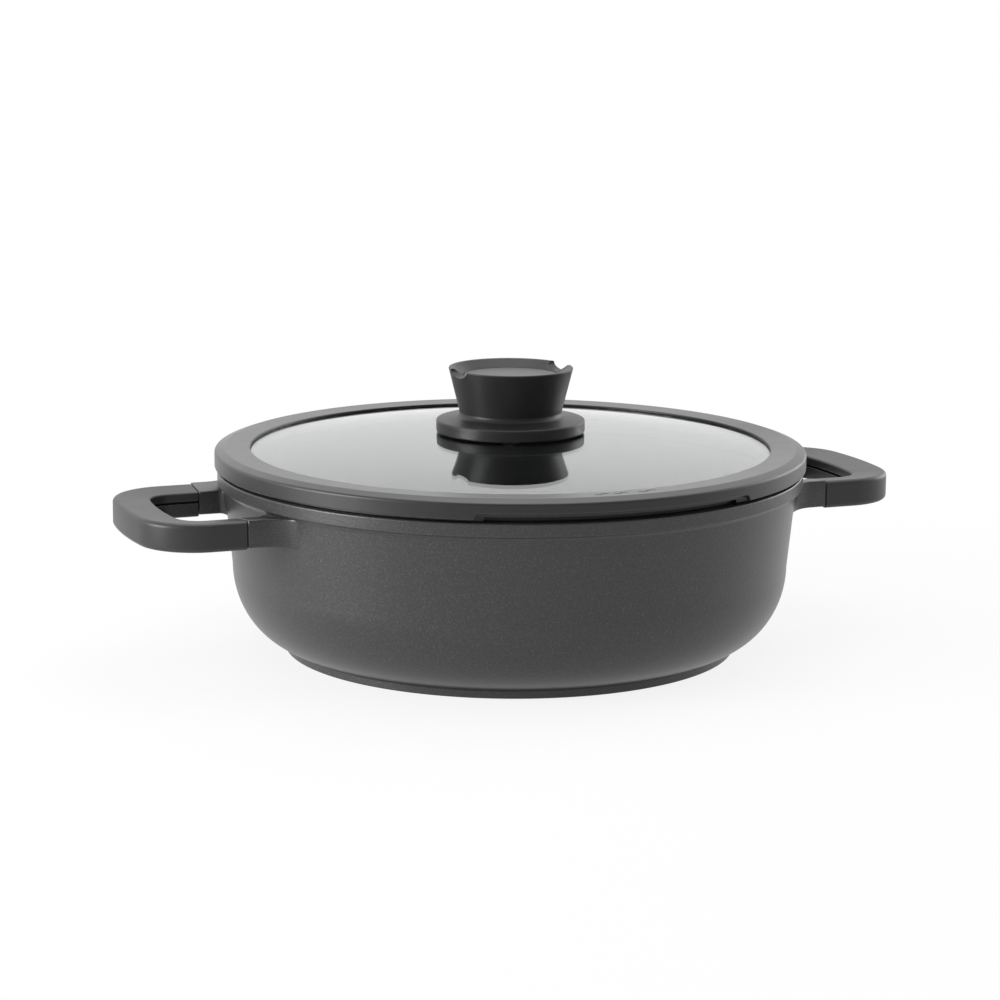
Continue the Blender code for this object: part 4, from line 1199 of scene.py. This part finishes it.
    def make(self, shop: Workshop) -> None:
        """Make both handles; the left one is the right one turned by half a turn.

        Args:
            shop: The workshop that makes the pieces.
        """
        boss, hole, screw = self.boss(), self.hole(), self.screw.surface()
        arms = (("back", self.screw_y), ("front", -self.screw_y))
        bosses = [boss.moved(self.screw_x, y) for arm, y in arms]
        holes = [hole.moved(self.screw_x, y) for arm, y in arms]
        upper = self.shell_surface(upper=True).joined(*bosses)
        lower = self.shell_surface(upper=False)
        cutter = holes[0].joined(holes[1])
        for side, turn in (("right", 0.0), ("left", math.pi)):
            shop.piece(f"handle_shell_{side}", upper.turned(turn), HANDLE_PLASTIC, Body.PAN,
                       (f"handle_upper_{side}",))
            shop.piece(f"handle_cover_{side}", lower.turned(turn), HANDLE_PLASTIC, Body.PAN,
                       (f"handle_lower_{side}",), cutter=cutter.turned(turn))
        for side, x in (("right", self.screw_x), ("left", -self.screw_x)):
            for arm, y in arms:
                bolt = screw.turned(self.screw_turn * x).moved(x, y, self.screw_seat)
                shop.piece(f"handle_bolt_{side}_{arm}", bolt, STEEL, Body.PAN,
                           (f"handle_screw_{side}_{arm}",))
                shop.dress_node(f"handle_insert_{side}_{arm}", BRASS)


# The lid


@dataclass(frozen=True)
class Lid:
    """The domed glass and its silicone rim, with the strainer side and its marks."""

    turn: float = math.radians(0.25)
    glass_radius: float = 139.0
    glass: float = 4.0
    glass_edge: float = 1.6
    glass_hole: float = 4.6
    hole_edge: float = 0.8
    crown: float = 108.55
    dome_rise: float = 9.65
    dome_power: float = 2.3
    dome_steps: int = 40
    pan_height: float = PAN_HEIGHT
    opening_radius: float = OPENING_RADIUS
    rim_radius: float = 147.8
    rim_inner: float = 130.0
    rim_inner_top: float = 101.6
    rim_edge: float = 0.5
    thin_edge: float = 0.2
    mouth_gap: float = 0.05
    ridge_radius: float = 142.7
    ridge_round: float = 3.0
    rim_top: float = 102.0
    rim_side_top: float = 100.3
    rim_round: float = 1.5
    skirt_bottom: float = 92.6
    skirt_inner: float = 145.7
    recess: float = 93.9
    seat_radius: float = 142.64
    seat_start: float = 140.3
    seat_ramp: float = 0.02
    leg_radius: float = 138.54
    leg: float = 2.2
    leg_bottom: float = 84.0
    lip: float = 8.1
    lip_edge: float = 0.3
    strainer_half: float = math.radians(28.15)
    strainer_lift: float = 2.9
    seat_lift: float = 2.6
    slots: int = 7
    slot_width: float = 3.6
    slot_height: float = 4.2
    slot_corner: float = 0.8
    slot_from: float = 133.5
    slot_to: float = 143.2
    mark_angles: tuple[tuple[float, float], ...] = ((-5.0, -2.1), (-1.0, 1.9), (4.1, 8.1))
    mark_radius: float = 136.4
    mark_wave: float = 1.3
    mark_half_width: float = 0.34
    mark_half_height: float = 0.1
    mark_bevel: float = 0.04

    def dome_height(self, radius: np.ndarray | float) -> np.ndarray | float:
        """Height of the glass's top: the crown less the rise times a power of the radius's share."""
        share = np.asarray(radius) / self.glass_radius
        return self.crown - self.dome_rise * np.power(share, self.dome_power)

    def rim_height(self, radius: np.ndarray) -> np.ndarray:
        """Height of the rim's top between its inner edge and its ridge."""
        return np.interp(radius, (self.rim_inner, self.ridge_radius), (self.rim_inner_top, self.rim_top))

    def glass_outline(self) -> np.ndarray:
        """The glass's half section, with softened edges at the hole and a rounded outer edge.

        Returns:
            The section's (radius, height) points: top, outer edge, underside and hole.
        """
        first, last = self.glass_hole + self.hole_edge, self.glass_radius - self.glass_edge
        half = self.glass / 2
        outer = arc((last, self.dome_height(last) - half), (self.glass_edge, half), 90, -90, 12)[1:-1]
        hole = arc((first, self.dome_height(first) - half), (self.hole_edge, half), 270, 90, 8)[1:-1]
        out = np.linspace(first, last, self.dome_steps)
        top = np.column_stack((out, self.dome_height(out)))
        return np.vstack((top, outer, top[::-1] - (0.0, self.glass), hole))

    def rim_outline(self, skirt_lift: float, seat_lift: float) -> np.ndarray:
        """The rim's half section, with its channel round the glass's edge.

        Args:
            skirt_lift: How far the skirt's lower edge is lifted.
            seat_lift: How far the seat is lifted off the pan's edge.

        Returns:
            The section's (radius, height) points.
        """
        seat = self.pan_height + GAP
        lifted = seat + seat_lift
        skirt = self.skirt_bottom + skirt_lift
        channel = self.glass_radius + GAP
        lip = channel - self.lip
        under_glass = self.dome_height(lip) - self.glass - GAP
        channel_bottom = self.dome_height(channel) - self.glass - GAP
        channel_top = self.dome_height(channel) + GAP
        mouth = self.dome_height(self.rim_inner) + self.mouth_gap
        leg_inner = self.leg_radius - self.leg
        return rounded([
            (self.rim_inner, self.rim_inner_top, self.rim_edge),
            (self.ridge_radius, self.rim_top, self.ridge_round),
            (self.rim_radius, self.rim_side_top, self.rim_round), (self.rim_radius, skirt, self.rim_edge),
            (self.skirt_inner, skirt, self.thin_edge), (self.skirt_inner, self.recess, self.thin_edge),
            (self.seat_radius, self.recess, 0.0), (self.seat_radius, lifted, 0.0),
            (self.seat_start, lifted, 0.0), (self.seat_start - self.seat_ramp, seat, 0.0),
            (self.leg_radius, seat, 0.0), (self.leg_radius, self.leg_bottom, self.rim_edge),
            (leg_inner, self.leg_bottom, self.rim_edge), (leg_inner, seat, self.lip_edge),
            (lip, (seat + under_glass) / 2, self.lip_edge), (lip, under_glass, self.thin_edge),
            (channel, channel_bottom, 0.0), (channel, channel_top, 0.0),
            (self.rim_inner, mouth, self.thin_edge)], steps=6)

    def rim(self) -> Surface:
        """The rim: its outline turned round Z, with the skirt and seat lifted on the strainer side.

        The skirt's lift rises from each end of that side as a quarter circle does, so its edge ends
        in a rounded hook. The seat's lift rises evenly over a ramp of 1 mm, one slot's width in.

        Returns:
            The rim without its slots.
        """
        half, hook = self.strainer_half, self.strainer_lift
        fine = np.linspace(-0.5, 2.0 * hook, 26) / self.rim_radius
        ramp = np.linspace(-0.5, 1.5, 6) / self.opening_radius + self.slot_width / self.opening_radius
        around = np.linspace(-math.pi, math.pi, ROUND_STEPS, endpoint=False)
        every = np.concatenate((around, -half + fine, half - fine, -half + ramp, half - ramp))
        offset = np.unique(np.round(every, 6))
        inside = half - np.abs(offset)
        share = np.clip(inside * self.rim_radius / hook, 0.0, 1.0)
        skirt = np.sqrt(1.0 - (1.0 - share) ** 2)[:, None, None]
        seat = np.clip(inside * self.opening_radius - self.slot_width, 0.0, 1.0)[:, None, None]
        base = self.rim_outline(0.0, 0.0)
        with_skirt = self.rim_outline(self.strainer_lift, 0.0) - base
        with_seat = self.rim_outline(0.0, self.seat_lift) - base
        outline = base + skirt * with_skirt + seat * with_seat
        rings = round_z(outline[..., 0], (FRONT + self.turn + offset)[:, None], outline[..., 1])
        return skin(rings, closed_path=True, wear=edge_wear(base))

    def slot_cutters(self) -> Surface:
        """Bars that cut the slots in the leg, evenly spaced over the strainer side.

        Returns:
            The bars, which run outwards through the leg.
        """
        middle = (self.pan_height + self.leg_bottom) / 2
        low, high = middle - self.slot_height / 2, middle + self.slot_height / 2
        half, corner = self.slot_width / 2, self.slot_corner
        ring = rounded([(-half, low, corner), (half, low, corner),
                        (half, high, corner), (-half, high, corner)], steps=4)
        bar = skin(np.array([np.insert(ring, 0, x, axis=1) for x in (self.slot_from, self.slot_to)]),
                   closed_path=False)
        start = FRONT + self.turn - self.strainer_half
        pitch = 2 * self.strainer_half / self.slots
        bars = [bar.turned(start + pitch * (index + 0.5)) for index in range(self.slots)]
        return bars[0].joined(*bars[1:])

    def steam_marks(self) -> Surface:
        """Three small waves on the rim, the usual sign for steam, at the strainer side.

        Each is a flat ribbon whose radius follows one wave of a sine while its angle moves evenly,
        and whose width narrows to a fifth at both ends.

        Returns:
            The three ribbons, which lie on the rim's top.
        """
        side, bevel = self.mark_half_height, self.mark_bevel
        section = np.array(((-1.0, -side), (-1.0, bevel), (-0.6, side),
                            (0.6, side), (1.0, bevel), (1.0, -side)))
        share = np.linspace(0.0, 1.0, 25)
        radius = self.mark_radius + self.mark_wave * np.sin(FULL_TURN * share)
        half = self.mark_half_width * np.sqrt(np.clip(1.04 - (2 * share - 1) ** 4, 0.0, 1.0))
        marks = []
        for start, end in self.mark_angles:
            angle = np.radians(start + (end - start) * share) + FRONT
            path = np.column_stack((radius * np.cos(angle), radius * np.sin(angle)))
            along = np.gradient(path, axis=0)
            along /= np.linalg.norm(along, axis=1)[:, None]
            square = np.column_stack((-along[:, 1], along[:, 0]))
            plan = path[:, None] + square[:, None] * half[:, None, None] * section[None, :, :1]
            height = self.rim_height(np.linalg.norm(plan, axis=-1, keepdims=True)) + section[None, :, 1:]
            marks.append(skin(np.concatenate((plan, height), axis=-1), closed_path=False))
        return marks[0].joined(*marks[1:])

    def make(self, shop: Workshop) -> None:
        """Make the glass, the rim and the marks on it.

        Args:
            shop: The workshop that makes the pieces.
        """
        shop.piece("lid_glass_dome", revolve(self.glass_outline()), GLASS, Body.LID, ("lid_glass",))
        shop.piece("lid_silicone_rim", self.rim(), SILICONE, Body.LID, ("lid_rim",),
                   cutter=self.slot_cutters())
        shop.piece("lid_steam_marks", self.steam_marks(), MARK_INK, Body.LID)


@dataclass(frozen=True)
class Knob:
    """The knob on the glass: flange, flared grip with two notches, disc, seals, washer and screw."""

    turn: float = math.radians(8.9)
    bore: float = 2.7
    flange_radius: float = 37.2
    flange_bottom: float = 108.84
    flange_top: float = 114.94
    flange_fall: float = 0.1
    flange_wall: float = 4.2
    base_top: float = 118.74
    foot: float = 25.6
    fillet: float = 2.6
    spigot: float = 14.0
    spigot_height: float = 3.0
    grip_radius: float = 31.2
    top: float = 140.94
    lip: float = 2.4
    lip_slope: float = 0.3
    dish: float = 3.8
    dish_wall: float = 2.1
    disc_radius: float = 23.4
    disc: float = 1.1
    core_radius: float = 5.3
    notch_width: float = 16.0
    notch_corner: float = 7.9
    notch_depth: float = 3.6
    notch_step: float = 0.45
    seam: float = 0.05
    glass_bottom: float = 104.54
    seal: float = 1.0
    seal_radius: float = 16.0
    lower_seal_radius: float = 11.0
    collar_radius: float = 4.3
    washer: float = 1.1
    washer_radius: float = 10.0
    fine_edge: float = 0.1
    thin_edge: float = 0.2
    seal_edge: float = 0.3
    screw_head_height: float = 2.6

    @property
    def dish_floor(self) -> float:
        """Height of the floor that the disc lies on."""
        return self.top - self.dish - self.disc - GAP

    def flange(self) -> np.ndarray:
        """The base's half section: spigot, shoulder, hollow fillet, sloping flange, hub and bore.

        Returns:
            The section's (radius, height) points.
        """
        hollow_top = self.flange_top - self.flange_wall
        hub = self.flange_bottom + self.seal + GAP
        spigot_top = self.base_top + self.spigot_height
        inner_wall = self.flange_radius - self.flange_wall
        fillet = arc((self.foot + self.fillet, self.base_top), (self.fillet, self.fillet), 165, 256, 12)
        return rounded([
            (self.bore, hub, self.thin_edge), (self.bore, spigot_top, self.thin_edge),
            (self.spigot, spigot_top, 0.4), (self.spigot, self.base_top, 0.0),
            *((radius, height, 0.0) for radius, height in fillet),
            (self.flange_radius, self.flange_top - self.flange_fall, 1.0),
            (self.flange_radius, self.flange_bottom, 0.7), (inner_wall, self.flange_bottom, 0.4),
            (inner_wall, hollow_top, 0.4), (self.seal_radius, hollow_top, 0.0),
            (self.seal_radius, hub, self.seal_edge)], steps=6)

    def grip_outline(self) -> np.ndarray:
        """The grip's half section: the dish with its lip, the cone, and the pocket for spigot and core.

        Returns:
            The section's (radius, height) points, with extra ones on the lip, which the notches cut.
        """
        disc_seat = self.disc_radius + GAP
        pocket = self.spigot + GAP
        pocket_top = self.base_top + self.spigot_height + GAP
        core = self.core_radius + GAP
        core_top = self.dish_floor - self.dish_wall
        foot_height = self.base_top + self.seam
        inner_lip = self.grip_radius - self.lip + self.lip_slope
        outline = rounded([
            (0.0, self.dish_floor, 0.0), (disc_seat, self.dish_floor, 0.0),
            (disc_seat, self.top - self.dish, 0.3), (inner_lip, self.top, 0.5),
            (self.grip_radius, self.top, 0.5), (self.foot, foot_height, 0.0),
            (pocket, foot_height, 0.2), (pocket, pocket_top, 0.0), (core, pocket_top, 0.0),
            (core, core_top, 0.0), (0.0, core_top, 0.0)], steps=6)
        lip_rows = np.flatnonzero(outline[:, 1] > self.top - self.dish - 0.2)
        return densified(outline, lip_rows[0], lip_rows[-1], self.notch_step)

    def grip(self) -> Surface:
        """The grip: its outline turned round Z, with two notches pressed into its lip.

        A point's side distance from a notch's middle line is its radius times the sine of its angle.
        The notch's floor is level in the middle, and rises at each side as a quarter ellipse to the
        lip. Points above that floor come down to it, and those outside the cone come in to it.

        Returns:
            The grip, turned to its place.
        """
        outline = self.grip_outline()
        half = self.notch_width / 2
        fine = np.linspace(-1.3, 1.3, 120) * math.asin(half / self.grip_radius)
        around = np.linspace(0.0, FULL_TURN, KNOB_STEPS, endpoint=False)
        every = np.concatenate((around, fine % FULL_TURN, fine + math.pi))
        angle = np.unique(np.round(every, 5))[:, None]
        radius, height = np.broadcast_to(outline.T[:, None, :], (2, len(angle), len(outline)))
        side = np.abs(radius * np.sin(angle))
        share = np.clip((side - half + self.notch_corner) / self.notch_corner, 0.0, 1.0)
        floor = self.top - self.notch_depth * np.sqrt(1.0 - share ** 2)
        on_lip = radius >= self.disc_radius + GAP - 0.01
        cut = (side < half) & (height > floor) & on_lip
        height = np.where(cut, floor, height)
        foot_height = self.base_top + self.seam
        flare = (self.grip_radius - self.foot) / (self.top - foot_height)
        radius = np.where(cut, np.minimum(radius, self.foot + flare * (height - foot_height)), radius)
        rings = round_z(radius, angle + self.turn, height)
        return skin(rings, closed_path=True, closed_ring=False, wear=edge_wear(outline))

    def ring(self, radius: float, top: float, thickness: float, edge: float) -> Surface:
        """A flat ring on the knob's bore, with softened edges.

        Args:
            radius: Its outside radius.
            top: Height of its upper face.
            thickness: How thick it is.
            edge: Rounding of its upper outer edge.

        Returns:
            The ring.
        """
        bottom = top - thickness
        outline = rounded([
            (self.bore, top, self.fine_edge), (radius, top, edge), (radius, bottom, self.seal_edge),
            (self.bore, bottom, self.fine_edge)], steps=3)
        return revolve(outline, SCREW_STEPS)

    def upper_seal(self) -> Surface:
        """The seal under the flange, with a collar that reaches through the glass.

        Returns:
            The seal.
        """
        seal_top, collar_bottom = self.flange_bottom + self.seal, self.glass_bottom + GAP
        outline = rounded([
            (self.bore, seal_top, self.fine_edge), (self.seal_radius, seal_top, self.seal_edge),
            (self.seal_radius, self.flange_bottom, self.seal_edge),
            (self.collar_radius, self.flange_bottom, 0.0),
            (self.collar_radius, collar_bottom, self.thin_edge),
            (self.bore, collar_bottom, self.fine_edge)], steps=3)
        return revolve(outline, SCREW_STEPS)

    def make(self, shop: Workshop) -> None:
        """Make the knob's pieces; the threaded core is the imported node.

        Args:
            shop: The workshop that makes the pieces.
        """
        shop.piece("knob_flange", revolve(self.flange(), KNOB_STEPS), KNOB_PLASTIC, Body.LID,
                   ("knob_base",))
        shop.piece("knob_cup", self.grip(), KNOB_PLASTIC, Body.LID, ("knob_grip",))
        disc_top = self.top - self.dish
        disc = rounded([(0.0, disc_top - self.disc, 0.0), (self.disc_radius, disc_top - self.disc, 0.2),
                        (self.disc_radius, disc_top, 0.35), (0.0, disc_top, 0.0)], steps=4)
        shop.piece("knob_inlay", revolve(disc, KNOB_STEPS, solid=True), KNOB_DISC, Body.LID,
                   ("knob_top_disc",))
        seal_top = self.glass_bottom - GAP
        washer_top = seal_top - self.seal - GAP
        lower_seal = self.ring(self.lower_seal_radius, seal_top, self.seal, self.seal_edge)
        washer = self.ring(self.washer_radius, washer_top, self.washer, self.thin_edge)
        shop.piece("glass_gasket_upper", self.upper_seal(), SEAL_SILICONE, Body.LID,
                   ("glass_seal_upper",))
        shop.piece("glass_gasket_lower", lower_seal, SEAL_SILICONE, Body.LID, ("glass_seal_lower",))
        shop.piece("knob_steel_washer", washer, STEEL, Body.LID, ("knob_washer",))
        low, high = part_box("knob_screw")
        seat = low.z / MM + self.screw_head_height
        screw = PanHeadScrew(shank=2.4, head=5.0, head_height=self.screw_head_height,
                             length=high.z / MM - seat, drive_reach=5.6, drive_width=1.3, drive_depth=1.4)
        shop.piece("knob_bolt", screw.surface().moved(z=seat), STEEL, Body.LID_AXIS, ("knob_screw",))
        shop.dress_node("knob_core", BRASS)


# Studio


@dataclass(frozen=True)
class Softbox:
    """A square soft lamp that faces the pan; its place and size are in metres, its power in watts."""

    name: str
    place: tuple[float, float, float]
    size: float
    power: float
    aim: tuple[float, float, float] = (0.0, 0.0, 0.05)

    def make(self) -> None:
        """Place the lamp."""
        data = bpy.data.lights.new(self.name, "AREA")
        data.size = self.size
        data.energy = self.power
        thing = bpy.data.objects.new(self.name, data)
        thing.location = self.place
        ray = Vector(self.aim) - Vector(self.place)
        thing.rotation_euler = ray.to_track_quat("-Z", "Y").to_euler()
        bpy.context.scene.collection.objects.link(thing)


@dataclass(frozen=True)
class Studio:
    """The floor, the light and the camera at the photograph's angle.

    Lengths are in metres, but for the lens and the sensor, which are in millimetres.
    """

    azimuth: float = math.radians(-21.35)
    elevation: float = math.radians(11.13)
    roll: float = math.radians(0.38)
    distance: float = 1.5
    target_height: float = 0.0732
    target_right: float = -0.0050
    lens: float = 107.3
    sensor: float = 36.0
    clip_end: float = 100.0
    floor_size: float = 30.0
    floor_drop: float = 0.0002
    floor_tone: float = 0.8
    floor_roughness: float = 0.9
    floor_specular: float = 0.1
    near_glow: float = 0.86
    glow_reach: tuple[float, float] = (0.3, 0.8)
    fill: float = 0.55
    depth_range: tuple[float, float] = (-0.6, 0.4)
    depth_light: tuple[float, float] = (0.3, 1.0)
    lift_range: tuple[float, float] = (0.0, 0.5)
    lift_light: tuple[float, float] = (1.0, 1.4)
    softboxes: tuple[Softbox, ...] = (Softbox("top_softbox", (0.15, 0.25, 1.9), 1.6, 20.0),
                                      Softbox("left_softbox", (-1.42, -0.02, 0.32), 0.6, 20.0),
                                      Softbox("right_softbox", (1.50, 0.45, 0.45), 0.9, 8.0))

    def camera(self) -> None:
        """Place the camera: back from the target by the distance, level but for the roll."""
        sine, cosine = math.sin(self.azimuth), math.cos(self.azimuth)
        right = Vector((cosine, sine, 0.0))
        level = math.cos(self.elevation)
        back = Vector((sine * level, -cosine * level, math.sin(self.elevation)))
        data = bpy.data.cameras.new("photo_camera")
        data.lens = self.lens
        data.sensor_width = self.sensor
        data.clip_end = self.clip_end
        thing = bpy.data.objects.new("photo_camera", data)
        target = Vector((0.0, 0.0, self.target_height)) + right * self.target_right
        facing = Matrix((right, back.cross(right), back)).transposed().to_4x4()
        turned = facing @ Matrix.Rotation(self.roll, 4, "Z")
        thing.matrix_world = Matrix.Translation(target + back * self.distance) @ turned
        bpy.context.scene.collection.objects.link(thing)
        bpy.context.scene.camera = thing

    def floor(self) -> None:
        """A plain pale floor, which the camera sees almost white but for the pan's shadow."""
        half, height = self.floor_size / 2, -self.floor_drop
        spots = [(x, y, height) for x, y in ((-half, -half), (half, -half), (half, half), (-half, half))]
        mesh = bpy.data.meshes.new("studio_floor")
        mesh.from_pydata(spots, [], [(0, 1, 2, 3)])
        made = bpy.data.materials.new("studio_floor")
        made.use_nodes = True
        tree = made.node_tree
        shader = tree.nodes["Principled BSDF"]
        fill(tree, shader, {"Base Color": (*[self.floor_tone] * 3, 1.0),
                            "Roughness": self.floor_roughness,
                            "Specular IOR Level": self.floor_specular})
        place = add_node(tree, "TexCoord", {}).outputs["Object"]
        away = add_node(tree, "VectorMath", {0: place}, operation="LENGTH").outputs["Value"]
        glow_share = spread(tree, away, self.glow_reach, (self.near_glow, 1.0), smooth=True)
        glow = add_node(tree, "Emission", {}).outputs["Emission"]
        share = maths(tree, "MULTIPLY", seen_directly(tree), glow_share)
        mix = add_node(tree, "MixShader", {0: share, 1: shader.outputs["BSDF"], 2: glow})
        fill(tree, tree.nodes["Material Output"], {"Surface": mix.outputs["Shader"]})
        mesh.materials.append(made)
        thing = bpy.data.objects.new("studio_floor", mesh)
        bpy.context.scene.collection.objects.link(thing)

    def world(self) -> None:
        """A white surround where it is seen, and a softer fill light on surfaces.

        In reflections and through glass the surround is white behind the pan and dim in front, as in
        a studio whose camera side is unlit, and it brightens towards the ceiling.
        """
        made = bpy.data.worlds.new("studio_surround")
        bpy.context.scene.world = made
        made.use_nodes = True
        tree = made.node_tree
        white = (1.0, 1.0, 1.0, 1.0)
        direction = add_node(tree, "TexCoord", {}).outputs["Generated"]
        away = (-math.sin(self.azimuth), math.cos(self.azimuth), 0.0)
        behind = add_node(tree, "VectorMath", {0: direction, 1: away}, operation="DOT_PRODUCT")
        up = add_node(tree, "SeparateXYZ", {"Vector": direction}).outputs["Z"]
        depth = spread(tree, behind.outputs["Value"], self.depth_range, self.depth_light, smooth=True)
        lift = spread(tree, up, self.lift_range, self.lift_light, smooth=True)
        mirrored = maths(tree, "MULTIPLY", depth, lift)
        camera = add_node(tree, "LightPath", {}).outputs["Is Camera Ray"]
        dimmed = maths(tree, "MULTIPLY", mirrored, maths(tree, "SUBTRACT", 1.0, camera))
        shown = tree.nodes["Background"]
        fill(tree, shown, {"Color": white, "Strength": maths(tree, "ADD", dimmed, camera)})
        filling = add_node(tree, "Background", {"Color": white, "Strength": self.fill})
        mix = add_node(tree, "MixShader", {0: seen_directly(tree), 1: filling.outputs["Background"],
                                           2: shown.outputs["Background"]})
        fill(tree, tree.nodes["World Output"], {"Surface": mix.outputs["Shader"]})

    def make(self) -> None:
        """Set the stage and Blender's standard view."""
        bpy.context.scene.view_settings.view_transform = "Standard"
        self.camera()
        self.floor()
        self.world()
        for softbox in self.softboxes:
            softbox.make()


def main() -> None:
    """Build the saute pan, its lid and the studio."""
    logging.basicConfig(level=logging.INFO, format="%(name)s: %(message)s")
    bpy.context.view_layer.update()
    Studio().make()
    shop = Workshop()
    CastPan().make(shop)
    LoopHandle().make(shop)
    Lid().make(shop)
    Knob().make(shop)
    log.info("%d pieces made", len(shop.pieces))
    bpy.context.view_layer.update()


if __name__ == "__main__":
    main()
